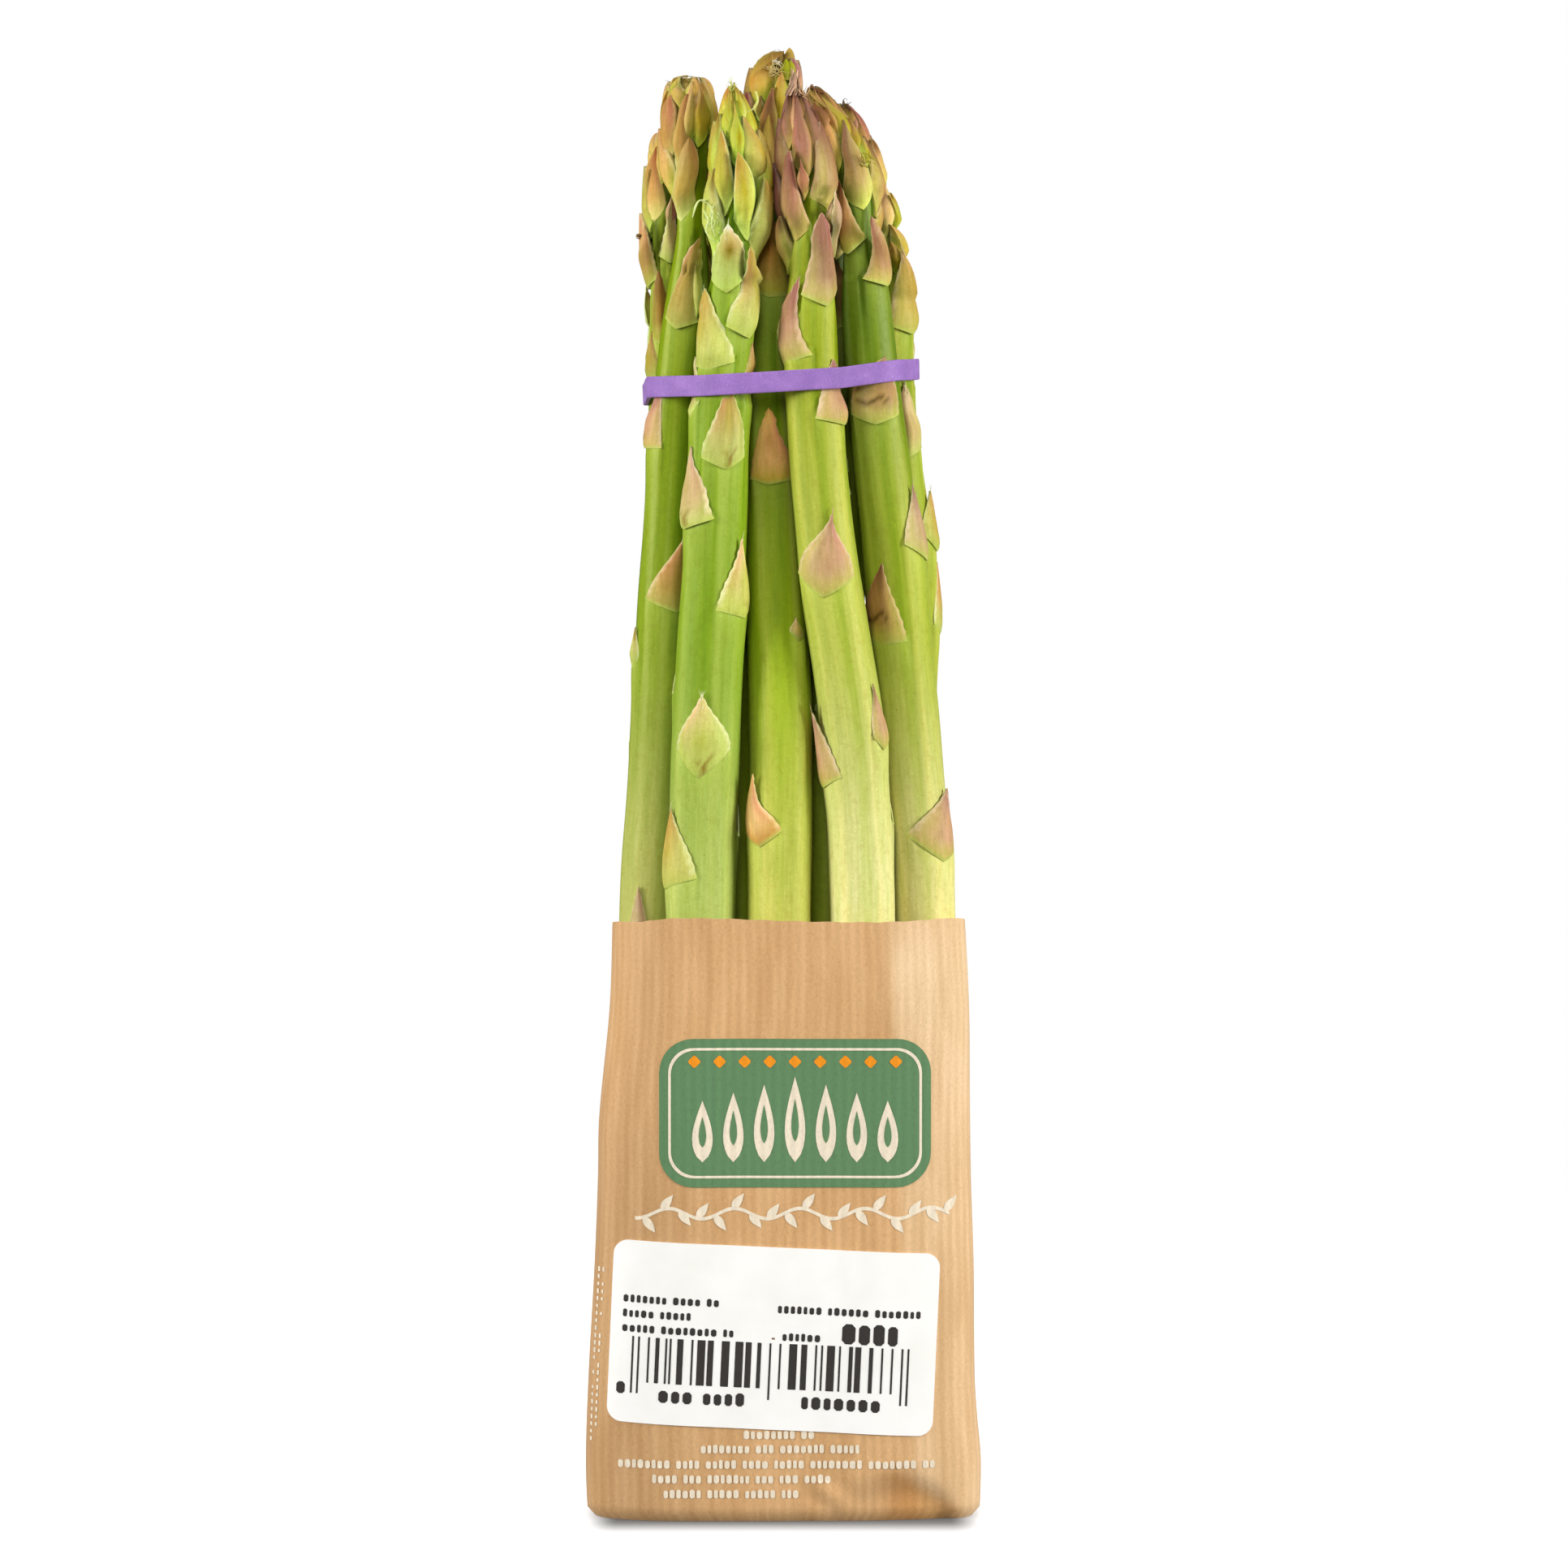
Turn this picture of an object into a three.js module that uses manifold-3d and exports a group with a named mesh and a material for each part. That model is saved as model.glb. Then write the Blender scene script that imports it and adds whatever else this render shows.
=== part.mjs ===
// Bundle of green asparagus: twelve spears standing in a kraft paper sleeve, held near their tips
// by a rubber band, with a blank adhesive label on the sleeve's front.
// Millimetres, +Z up. The origin is the middle of the sleeve's flat foot and the front faces -Y.
import * as THREE from "three";
import { mergeVertices } from "three/addons/utils/BufferGeometryUtils.js";
import Module from "manifold-3d";

const wasm = await Module();
wasm.setup();

// ---------------------------------------------------------------- driving dimensions
const FOOT_Z = 1.2; // cut ends stand just above the sleeve's floor
const MOUTH_Z = 105.3; // top edge of the sleeve
const HEAD_LENGTH = 34; // closed bud at the top of a spear, measured down from its tip
const TAPER_FROM = 147; // distance below the tip where a spear reaches its full girth
const NECK_SHARE = 0.7; // girth just under the bud, as a share of the full girth
const HEAD_SHARE = 1.02; // widest half-width of the bud, as a share of the full girth
const STEM_GAP = 0.7; // least space between two stems
const BUDS_FROM = 210; // above this height the buds press into each other's scales
const BUD_SQUEEZE = 0.9; // how near two pressed buds stand, as a share of their girths
const NODE_GAP = 0.4; // least space between a spear and its neighbour or the band
const LABEL_GAP = 0.3; // between the sleeve and its label
const FOOT_SPREAD = 1.03; // the spears stand a little wider at the foot than at the mouth

const SLEEVE = {
  wall: 0.8,
  floor: 0.8,
  halfWidth: [34.7, 31.4], // at the foot, at the mouth
  halfDepth: [19.0, 18.4],
  shiftX: [0, 1], // the mouth sits a little to the right of the foot
  squareness: 4.4, // exponent of the superellipse section
  seamWidth: 12, // glued overlap down the middle of the back
  seamProud: 0.8,
};
const LABEL = { width: 57, height: 32, corner: 2.6, thick: 0.6, x: -1.8, z: 31.5, tiltDeg: -2.6 };
const BAND = { z: 199.7, slope: 0.104, height: 3.7, thick: 0.9, pressed: 0.3 };

// Heights at which each spear's place is given: the sleeve's mouth, three along the stem,
// the neck under the bud and the middle of the bud. One last place is given for the tip.
const HEIGHTS = [105, 138, 167, 197, 218, 236];

// girth: radius at the mouth. tip: height of the tip. x, y: places at HEIGHTS and at the tip.
// held: its neighbours move it in depth only. blunt: how round the bud is, 0.8 being pointed.
// turn: azimuth of the bud's lowest scale, in degrees from the front towards +X.
// scales: [height of the base, azimuth, how far the point stands off the stem].
// spiral: azimuth of the first scale of a spear whose scales follow the golden angle.
const SPEARS = [
  { // front left
    girth: 5.4, tip: 253.5, held: true, blunt: 0.3, turn: 20,
    x: [-23.7, -21.7, -20.3, -18.5, -16.6, -16.2, -16.7],
    y: [-3.0, -3.2, -3.5, -3.9, -4.2, -3.4, -3.0],
    scales: [[209, 0, 0.3], [188, -58, 0.4], [159.5, 14, 0.3], [147, -85, 0.3], [107, -25, 0.3]],
  },
  { // front, left of the middle
    girth: 6.0, tip: 251.4, held: true, blunt: 0.75, turn: -25,
    x: [-14.5, -13.6, -12.2, -10.9, -9.0, -7.8, -9.0],
    y: [-10.8, -10.9, -10.9, -10.9, -10.9, -11.2, -10.0],
    scales: [[215, -8, 0.3], [207, 55, 0.9], [201, -35, 0.4], [184.5, 12, 0.3],
      [173.9, -48, 0.4], [158.5, 54, 0.5], [130.7, -3, 0.4], [110.6, -58, 0.3]],
  },
  { // middle, tallest
    girth: 5.6, tip: 258.4, held: true, blunt: 0.35, turn: 5,
    x: [-0.8, -0.5, -1.6, -2.8, -3.2, -2.6, -1.2],
    y: [-11.1, -9.9, -5.2, -4.3, -3.5, -1.2, -0.4],
    scales: [[218, 40, 0.4], [214.7, -20, 0.3], [181.5, -8, 0.3], [154, 70, 0.2], [118, -38, 1.3]],
  },
  { // front, right of the middle
    girth: 5.7, tip: 252, held: true, blunt: 0.8, turn: -10,
    x: [13.9, 12.1, 7.9, 5.1, 4.6, 3.8, 1.9],
    y: [-11.2, -11.2, -11.1, -10.9, -10.9, -10.9, -9.4],
    scales: [[213, 18, 0.4], [202, -38, 0.8], [192.5, 52, 0.3], [162, 0, 0.3],
      [135, 78, 0.4], [128.5, -48, 1.9]],
  },
  { // front right
    girth: 5.75, tip: 251.8, held: true, blunt: 0.65, turn: -5,
    x: [24.6, 21.9, 19.3, 15.9, 13.9, 11.8, 5.3],
    y: [-5.3, -4.6, -6.4, -7.4, -6.6, -4.6, -2.9],
    scales: [[222, -45, 0.4], [216.5, 20, 0.5], [193, 0, 0.3], [169, 57, 0.3],
      [154, -20, 0.3], [115.6, 36, 0.4]],
  },
  { // right, behind
    girth: 4.7, tip: 249.2, held: true, blunt: 0.5, turn: 40,
    x: [23.4, 22.6, 22.4, 19.3, 18.7, 14.2, 10.3],
    y: [5.8, 6.2, 4.4, 2.2, 2.2, 4.4, 4.6],
    scales: [[208, 36, 0.5], [186.7, 46, 0.3], [170, 66, 0.5], [200, 130, 0.4],
      [178, 170, 0.4], [155, 100, 0.3], [134, 150, 0.4]],
  },
  { // left, behind
    girth: 4.7, tip: 244.2, held: true, blunt: 0.45, turn: -30,
    x: [-21.5, -21.3, -21.0, -20.7, -20.9, -20.6, -21.2],
    y: [7.6, 6.9, 6.2, 5.0, 4.2, 4.6, 4.6],
    scales: [[221, 32, 0.3], [216.3, -60, 0.4], [207, -5, 0.3], [204, -140, 0.4],
      [188, 175, 0.4], [167, -110, 0.4], [146, -160, 0.4]],
  },
  { // inside, right
    girth: 5.2, tip: 240, held: false, blunt: 0.7, turn: 10,
    x: [7.5, 8.0, 9.8, 10.4, 10.6, 10.2, 9.5],
    y: [-0.6, -0.2, 0.2, 0.2, 1.0, 2.4, 2.4],
    scales: [[210.6, 18, 0.3], [182, -30, 0.3], [140, 15, 0.3]],
  },
  { // inside, left
    girth: 5.3, tip: 234, held: false, blunt: 0.7, turn: 60,
    x: [-9.0, -9.4, -9.9, -10.6, -11.0, -11.2, -11.0],
    y: [0.2, 0.4, 0.7, 0.9, 1.0, 1.2, 1.4],
    scales: [[192, 150, 0.3], [170, 20, 0.3], [136, 170, 0.3]],
  },
  { // back left
    girth: 5.4, tip: 245, held: false, blunt: 0.7, turn: 170, spiral: 172,
    x: [-10.5, -11.4, -12.5, -13.8, -13.6, -13.0, -12.2],
    y: [11.4, 10.9, 10.2, 9.4, 8.8, 8.4, 7.6],
  },
  { // back middle
    girth: 5.3, tip: 248, held: false, blunt: 0.7, turn: 200, spiral: 155,
    x: [1.0, -0.2, -1.4, -2.6, -3.0, -2.8, -2.2],
    y: [10.2, 9.0, 7.5, 5.8, 5.4, 7.4, 7.6],
  },
  { // back right
    girth: 5.2, tip: 242.5, held: false, blunt: 0.7, turn: 150, spiral: 198,
    x: [12.8, 10.8, 8.8, 6.8, 6.4, 6.2, 5.6],
    y: [9.8, 9.4, 9.2, 8.4, 8.4, 9.4, 9.0],
  },
];
const SPIRAL_SCALES = 6; // scales below the bud of a spear that follows the golden angle
const BUD_SCALES = 10;
const SCALE_LENGTH = 13.4;
const HEEL_DROP = 0.1; // how far a scale's V-shaped heel hangs below its sides, in scale lengths
const SCALE_HALF_ANGLE = 50; // half of a stem scale's width, as an angle about the stem's axis
const COLOURS = { spear: 0x8fae3a, sleeve: 0xcf9f6a, band: 0x9c78c4, label: 0xf6f4ee };
const GOLDEN_ANGLE = 137.5;
const STEM_SIDES = 10;
const FACET_SWELL = 1.03; // a ten-sided stem this much wider encloses a round one's area
const SLIVER = 0.06; // details smaller than this are smoothed away where scales cross

// ---------------------------------------------------------------- a spear's line and girth
// Smooth curve through the knots [[z, value], ...], by cubic pieces whose slopes join.
function follow(knots, z) {
  const last = knots.length - 1;
  const slope = (k) => {
    const a = knots[Math.max(k - 1, 0)];
    const b = knots[Math.min(k + 1, last)];
    return (b[1] - a[1]) / (b[0] - a[0]);
  };
  const at = THREE.MathUtils.clamp(z, knots[0][0], knots[last][0]);
  let k = 0;
  while (k < last - 1 && at > knots[k + 1][0]) k += 1;
  const [z0, v0] = knots[k];
  const [z1, v1] = knots[k + 1];
  const run = z1 - z0;
  const t = (at - z0) / run;
  return v0 * (1 + 2 * t) * (1 - t) ** 2 + v1 * t * t * (3 - 2 * t)
    + slope(k) * run * t * (1 - t) ** 2 + slope(k + 1) * run * t * t * (t - 1);
}

// Radius of the bare stem and of the bud's core, at a height.
function coreRadius(spear, z) {
  const down = spear.tip - z;
  if (down >= TAPER_FROM) return spear.girth;
  if (down >= HEAD_LENGTH) {
    const t = (TAPER_FROM - down) / (TAPER_FROM - HEAD_LENGTH);
    return spear.girth * (1 - (1 - NECK_SHARE) * t ** 2.5);
  }
  const u = Math.max(down, 0) / HEAD_LENGTH;
  return spear.girth * NECK_SHARE * (1 - (1 - u) ** 2.2) ** spear.blunt;
}

// Radius of the bud over its scales, or of the bare stem below it.
function coverRadius(spear, z) {
  const u = (spear.tip - z) / HEAD_LENGTH;
  if (u >= 1) return coreRadius(spear, z);
  const full = spear.girth * HEAD_SHARE;
  if (u >= 0.65) return full - spear.girth * 0.16 * ((u - 0.65) / 0.35) ** 2;
  return full * Math.sin((Math.PI / 2) * (Math.max(u, 0) / 0.65) ** spear.blunt);
}

// Sets the spears beside each other at each height. Two held spears that would touch move apart in
// depth alone, and a loose spear gives way to its neighbour in any direction.
function settle(spears) {
  const part = (a, b, z, k) => {
    const dx = b.x[k] - a.x[k];
    const dy = b.y[k] - a.y[k];
    const far = Math.hypot(dx, dy);
    const squeeze = z > BUDS_FROM ? BUD_SQUEEZE : 1;
    const want = (coverRadius(a, z) + coverRadius(b, z)) * squeeze + STEM_GAP;
    if (far >= want) return;
    if (a.held && b.held) {
      const push = (Math.sqrt(want ** 2 - dx ** 2) - Math.abs(dy)) * Math.sign(dy) / 2;
      a.y[k] -= push;
      b.y[k] += push;
      return;
    }
    const push = (want - far) / far;
    const shareA = a.held ? 0 : b.held ? 1 : 0.5;
    a.x[k] -= dx * push * shareA;
    a.y[k] -= dy * push * shareA;
    b.x[k] += dx * push * (1 - shareA);
    b.y[k] += dy * push * (1 - shareA);
  };
  HEIGHTS.forEach((z, k) => {
    for (let round = 0; round < 80; round++)
      spears.forEach((a, i) => spears.slice(i + 1).forEach((b) => part(a, b, z, k)));
  });
  spears.forEach((s) => {
    const levels = [...HEIGHTS, s.tip];
    s.lineX = [[FOOT_Z, s.x[0] * FOOT_SPREAD], ...levels.map((z, k) => [z, s.x[k]])];
    s.lineY = [[FOOT_Z, s.y[0]], ...levels.map((z, k) => [z, s.y[k]])];
  });
}
const axisAt = (spear, z) => [follow(spear.lineX, z), follow(spear.lineY, z)];

// Brings a point of one spear towards its own axis until it is nearer to that spear's surface than
// to any other's, with half a gap to spare on each side.
function bendClear(spear, point) {
  const [cx, cy] = axisAt(spear, point.z);
  const dx = point.x - cx;
  const dy = point.y - cy;
  const near = SPEARS.filter((s) => s !== spear && s.tip + 3 > point.z);
  const free = (share) => {
    const own = Math.hypot(dx, dy) * share - coverRadius(spear, point.z);
    return near.every((other) => {
      const [ox, oy] = axisAt(other, point.z);
      const away = Math.hypot(cx + dx * share - ox, cy + dy * share - oy);
      return own + NODE_GAP <= away - coverRadius(other, point.z);
    });
  };
  let share = 1;
  for (let step = 0; step < 40 && !free(share); step++) share -= 0.025;
  point.x = cx + dx * share;
  point.y = cy + dy * share;
  return point;
}

// ---------------------------------------------------------------- solids
function toManifold(geometry) {
  const bare = new THREE.BufferGeometry();
  bare.setAttribute("position", geometry.getAttribute("position"));
  bare.setIndex(geometry.index);
  const merged = mergeVertices(bare, 1e-4);
  return new wasm.Manifold(new wasm.Mesh({
    numProp: 3,
    vertProperties: new Float32Array(merged.attributes.position.array),
    triVerts: new Uint32Array(merged.index.array),
  }));
}

// The outer skin alone, so that no hollow stays shut between overlapping scales, with the slivers
// their crossings leave smoothed away.
function filled(solid) {
  return solid.simplify(SLIVER).decompose().reduce((a, b) => (b.volume() > a.volume() ? b : a));
}

function toGeometry(solid) {
  const { vertProperties, triVerts } = solid.getMesh();
  const geometry = new THREE.BufferGeometry();
  geometry.setAttribute("position", new THREE.BufferAttribute(vertProperties, 3));
  geometry.setIndex(new THREE.BufferAttribute(triVerts, 1));
  geometry.computeVertexNormals();
  return geometry;
}

function warp(geometry, move) {
  const p = geometry.getAttribute("position");
  const v = new THREE.Vector3();
  for (let i = 0; i < p.count; i++) {
    move(v.fromBufferAttribute(p, i));
    p.setXYZ(i, v.x, v.y, v.z);
  }
  return geometry;
}

// The stem with the bud's core: a turned profile, bent along the spear's line.
function stemSolid(spear) {
  const neck = spear.tip - HEAD_LENGTH;
  const stem = [FOOT_Z, 60, 105, 121, 137, 152, 167, 182, 197, 208].filter((z) => z < neck - 4);
  const bud = [1, 0.8, 0.6, 0.4, 0.22, 0.08].map((u) => spear.tip - u * HEAD_LENGTH);
  const profile = [
    new THREE.Vector2(0, FOOT_Z),
    ...[...stem, ...bud].map((z) => new THREE.Vector2(coreRadius(spear, z) * FACET_SWELL, z)),
    new THREE.Vector2(0, spear.tip - 0.3),
  ];
  const turned = new THREE.LatheGeometry(profile, STEM_SIDES);
  turned.rotateX(Math.PI / 2);
  return toManifold(warp(turned, (v) => {
    const [cx, cy] = axisAt(spear, v.z);
    bendClear(spear, v.set(v.x + cx, v.y + cy, v.z));
  }));
}

// One scale leaf: a pointed blade that hugs the stem, with a V-shaped heel. A scale that stands off
// is a thin blade from its middle up, and the others are solid down to one root on the stem's axis.
function scaleSolid(spear, { base, azimuth, length, halfAngle, lift, onBud }) {
  const top = base + length;
  const bandZ = BAND.z + BAND.slope * axisAt(spear, BAND.z)[0];
  const pressed = base < bandZ + BAND.height && top > bandZ - BAND.height;
  const rise = pressed ? 0 : lift;
  const free = rise > 0.7;
  const corners = [
    { v: -HEEL_DROP, u: 0, out: 0.5, sunk: true },
    { v: 0.12, u: -1, out: 0.35, sunk: true },
    { v: 0.6, u: -0.62, out: 0.4 + 0.45 * rise, sunk: false },
    { v: 1, u: 0, out: 0.3 + rise, sunk: false },
    { v: 0.6, u: 0.62, out: 0.4 + 0.45 * rise, sunk: false },
    { v: 0.12, u: 1, out: 0.35, sunk: true },
    { v: 0.2, u: 0, out: 0.85, sunk: true },
    { v: 0.62, u: 0, out: 0.85 + 0.5 * rise, sunk: false },
  ];
  const place = ({ v, u, out, sunk }, outer) => {
    const z = base + v * length;
    const core = coreRadius(spear, z);
    const open = onBud ? THREE.MathUtils.smoothstep(v, 0, 0.5) : 0;
    const skin = THREE.MathUtils.lerp(core, coverRadius(spear, z) - 0.6, open);
    const stand = pressed ? Math.min(out, BAND.pressed) : out;
    const inner = sunk ? core - 0.8 : skin + stand - 0.7;
    const radius = Math.max(outer ? skin + stand : inner, 0.15);
    const a = THREE.MathUtils.degToRad(azimuth + u * halfAngle);
    const [cx, cy] = axisAt(spear, z);
    return bendClear(spear, new THREE.Vector3(cx + radius * Math.sin(a), cy - radius * Math.cos(a), z));
  };
  const points = corners.map((c) => place(c, true));
  const cap = [[0, 6, 1], [0, 5, 6], [1, 6, 7], [1, 7, 2], [6, 5, 4], [6, 4, 7], [2, 7, 3], [7, 4, 3]];
  const faces = [...cap];
  const rim = 6;
  const root = corners.length;
  if (free) {
    points.push(...corners.map((c) => place(c, false)));
    cap.forEach(([a, b, c]) => faces.push([a + root, c + root, b + root]));
  } else {
    const z = base + 0.35 * length;
    points.push(new THREE.Vector3(...axisAt(spear, z), z));
  }
  for (let k = 0; k < rim; k++) {
    const n = (k + 1) % rim;
    if (free) faces.push([k, n, n + root], [k, n + root, k + root]);
    else faces.push([k, n, root]);
  }
  const geometry = new THREE.BufferGeometry().setFromPoints(points);
  geometry.setIndex(faces.flat());
  return toManifold(geometry);
}

// Scales of the bud, closing over its core: the golden angle places them, and they shorten upwards.
function budScales(spear) {
  const scales = [];
  for (let k = 0; k < BUD_SCALES; k++) {
    const share = k / (BUD_SCALES - 1);
    scales.push({
      base: spear.tip - HEAD_LENGTH * (1.04 - 0.82 * share ** 0.9),
      azimuth: spear.turn + GOLDEN_ANGLE * k,
      length: THREE.MathUtils.lerp(15.5, 7.5, share),
      halfAngle: THREE.MathUtils.lerp(46, 62, share),
      lift: 0,
      onBud: true,
    });
  }
  return scales;
}

// Scales along the stem: the given ones, or a golden-angle spiral whose steps lengthen downwards.
function stemScales(spear) {
  const given = spear.scales ?? Array.from({ length: SPIRAL_SCALES }, (_, k) =>
    [spear.tip - HEAD_LENGTH - 2 - 7 * k - k * k, spear.spiral + GOLDEN_ANGLE * k, 0.4]);
  return given.map(([heel, azimuth, lift]) => ({
    base: heel + SCALE_LENGTH * HEEL_DROP,
    azimuth,
    lift,
    halfAngle: SCALE_HALF_ANGLE,
    length: SCALE_LENGTH,
    onBud: false,
  }));
}

function spearSolid(spear) {
  const scales = [...stemScales(spear), ...budScales(spear)];
  return filled(wasm.Manifold.union([stemSolid(spear), ...scales.map((s) => scaleSolid(spear, s))]));
}

// ---------------------------------------------------------------- paper sleeve and its label
// The sleeve's section at a height is a superellipse; outset grows it, and the seam is on the back.
function sleeveBlock(outset, from, to, seam) {
  const block = new THREE.CylinderGeometry(1, 1, 1, 40, 3);
  block.rotateX(Math.PI / 2);
  const bend = 2 / SLEEVE.squareness;
  return toManifold(warp(block, (v) => {
    const z = THREE.MathUtils.lerp(from, to, v.z + 0.5);
    const t = THREE.MathUtils.clamp(z / MOUTH_Z, 0, 1);
    const halfWidth = THREE.MathUtils.lerp(...SLEEVE.halfWidth, t) + outset;
    const halfDepth = THREE.MathUtils.lerp(...SLEEVE.halfDepth, t) + outset;
    const far = Math.min(Math.hypot(v.x, v.y), 1);
    const angle = Math.atan2(v.y, v.x);
    const square = (c) => Math.sign(c) * Math.abs(c) ** bend;
    const cos = Math.abs(Math.cos(angle)) < 1e-6 ? 0 : Math.cos(angle);
    const sin = Math.abs(Math.sin(angle)) < 1e-6 ? 0 : Math.sin(angle);
    v.set(
      THREE.MathUtils.lerp(...SLEEVE.shiftX, t) + halfWidth * far * square(cos),
      halfDepth * far * square(sin),
      z,
    );
    if (seam && v.y > 0 && Math.abs(v.x) < SLEEVE.seamWidth / 2) v.y += SLEEVE.seamProud * far;
  }));
}

function sleeveSolid() {
  const outside = sleeveBlock(0, 0, MOUTH_Z, true);
  const inside = sleeveBlock(-SLEEVE.wall, SLEEVE.floor, MOUTH_Z + 5, false);
  return outside.subtract(inside);
}

// A block with rounded corners, cut from a shell that stands a gap off the sleeve's front.
function labelSolid() {
  const { width, height, corner, thick, x, z, tiltDeg } = LABEL;
  const shape = new THREE.Shape();
  const w = width / 2;
  const h = height / 2;
  shape.absarc(w - corner, h - corner, corner, 0, Math.PI / 2);
  shape.absarc(corner - w, h - corner, corner, Math.PI / 2, Math.PI);
  shape.absarc(corner - w, corner - h, corner, Math.PI, 1.5 * Math.PI);
  shape.absarc(w - corner, corner - h, corner, 1.5 * Math.PI, 2 * Math.PI);
  const cutter = new THREE.ExtrudeGeometry(shape, { depth: 30, bevelEnabled: false, curveSegments: 3 });
  cutter.rotateZ(THREE.MathUtils.degToRad(tiltDeg));
  cutter.rotateX(Math.PI / 2);
  cutter.translate(x, 0, z);
  const reach = z + height;
  const outside = sleeveBlock(LABEL_GAP + thick, 1, reach, false);
  const shell = outside.subtract(sleeveBlock(LABEL_GAP, 0, reach + 1, false));
  return shell.intersect(toManifold(cutter));
}

// ---------------------------------------------------------------- rubber band
// The tight loop round the stems over the band's height, walked by direction.
function bandLoop(outset) {
  const steps = 48;
  const circles = SPEARS.flatMap((s) => [-0.8, 0, 0.8].map((share) => {
    const z = BAND.z + BAND.slope * axisAt(s, BAND.z)[0] + share * BAND.height;
    return [...axisAt(s, z), coreRadius(s, z) + outset];
  }));
  return Array.from({ length: steps }, (_, k) => {
    const a = (2 * Math.PI * k) / steps;
    const ahead = new THREE.Vector2(Math.cos(a), Math.sin(a));
    const rims = circles.map(([x, y, r]) => new THREE.Vector2(x, y).addScaledVector(ahead, r));
    return rims.reduce((best, p) => (p.dot(ahead) > best.dot(ahead) ? p : best));
  });
}

function bandSolid() {
  const clear = BAND.pressed + NODE_GAP;
  const ring = new THREE.Shape(bandLoop(clear + BAND.thick));
  ring.holes.push(new THREE.Path(bandLoop(clear)));
  const made = new THREE.ExtrudeGeometry(ring, { depth: BAND.height, bevelEnabled: false });
  return toManifold(warp(made, (v) => v.setZ(v.z + BAND.z - BAND.height / 2 + BAND.slope * v.x)));
}

// ---------------------------------------------------------------- the bundle
function addPiece(group, name, solid, color, roughness) {
  const mesh = new THREE.Mesh(
    toGeometry(solid),
    new THREE.MeshStandardMaterial({ color, roughness, metalness: 0 }),
  );
  mesh.name = name;
  group.add(mesh);
}

settle(SPEARS);
const bundle = new THREE.Group();
SPEARS.forEach((spear, k) => {
  const name = "spear_" + String(k + 1).padStart(2, "0");
  addPiece(bundle, name, spearSolid(spear), COLOURS.spear, 0.45);
});
addPiece(bundle, "paper_sleeve", sleeveSolid(), COLOURS.sleeve, 0.85);
addPiece(bundle, "rubber_band", bandSolid(), COLOURS.band, 0.6);
addPiece(bundle, "label", labelSolid(), COLOURS.label, 0.5);

export default bundle;
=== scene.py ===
"""Looks for a bundle of green asparagus: twelve spears standing in a kraft paper sleeve, held by a
rubber band, with a white label and plain generic print on the sleeve.

Sizes are millimetres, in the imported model's own frame, and become metres as a mesh is made. The front
faces -Y. Azimuths are degrees about a spear's own axis, from the front towards +X.
"""

import math

import bpy
import numpy as np
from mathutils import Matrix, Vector


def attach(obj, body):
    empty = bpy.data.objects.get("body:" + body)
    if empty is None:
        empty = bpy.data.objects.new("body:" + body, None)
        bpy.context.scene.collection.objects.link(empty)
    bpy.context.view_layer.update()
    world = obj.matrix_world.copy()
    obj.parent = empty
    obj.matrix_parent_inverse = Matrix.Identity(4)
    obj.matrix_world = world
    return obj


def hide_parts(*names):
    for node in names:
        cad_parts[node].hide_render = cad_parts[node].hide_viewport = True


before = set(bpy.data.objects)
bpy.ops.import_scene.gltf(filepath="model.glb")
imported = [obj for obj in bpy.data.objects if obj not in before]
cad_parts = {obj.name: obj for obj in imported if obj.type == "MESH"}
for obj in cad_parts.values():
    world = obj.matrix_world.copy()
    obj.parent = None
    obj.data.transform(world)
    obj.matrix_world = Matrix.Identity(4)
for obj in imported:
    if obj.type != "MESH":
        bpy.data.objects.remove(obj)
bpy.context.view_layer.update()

# ---------------------------------------------------------------- driving dimensions
MM = 0.001
FOOT_Z = 1.2  # the cut ends of the stems
MOUTH_Z = 105.3  # the sleeve's cut edge
HEAD_LENGTH = 34.0  # a bud, from its tip down
TAPER_FROM = 147.0  # how far below its tip a stem starts to narrow
NECK_SHARE = 0.7  # the neck's radius as a share of the stem's
NECK_DIP = 1.2  # how much thinner the bare neck under a bud is than the CAD's
HEAD_SHARE = 1.02  # the radius over a bud's scales as a share of the stem's
STEM_GAP = 0.7  # least space between two spears as they are set beside each other
BUDS_FROM = 210.0
BUD_SQUEEZE = 0.9  # how close the buds may press, as a share of their radii
FOOT_SPREAD = 1.03
HEIGHTS = [105, 138, 167, 197, 218, 236]  # where the spears' lines have their knots
GOLDEN_ANGLE = 137.5
SPIRAL_SCALES = 6
STEM_SIDES = 72
SETTLE_ROUNDS = 80
CLEAR_ROUNDS = 14

SHEET = 0.25  # thickness of the kraft paper
SQUARENESS = 4.4  # exponent of the sleeve's superellipse section
SLEEVE_DEPTH = [19.0, 18.4]  # half depth at the foot and at the mouth
SLEEVE_LEFT = [  # height and x of its edges
    [0, -34.9], [10, -35.2], [25, -34.7], [45, -33.6], [60, -33.0], [70, -32.8], [90, -30.9], [105, -30.4],
]
SLEEVE_RIGHT = [
    [0, 34.9], [10, 35.1], [18, 34.4], [25, 34.0], [45, 33.8], [60, 33.3], [75, 33.1], [88, 33.0], [96, 32.7],
    [105, 32.2],
]
FOOT_ROUND = 1.9  # radius of the sleeve's lower edge
RIB_PITCH = 1.75
PAPER = (0.62, 0.36, 0.155)
CUT_PAPER = (0.74, 0.46, 0.22)
MOUTH_LINE = [[-30, -0.2], [-19, 0.6], [0, 0.1], [15, -0.1], [31, 0.3]]  # the cut edge over MOUTH_Z, by x
LABEL = dict(width=57.0, height=32.0, corner=2.6, thick=0.14, lift=0.10, x=-1.8, z=32.3, tilt=-2.6)
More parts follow.
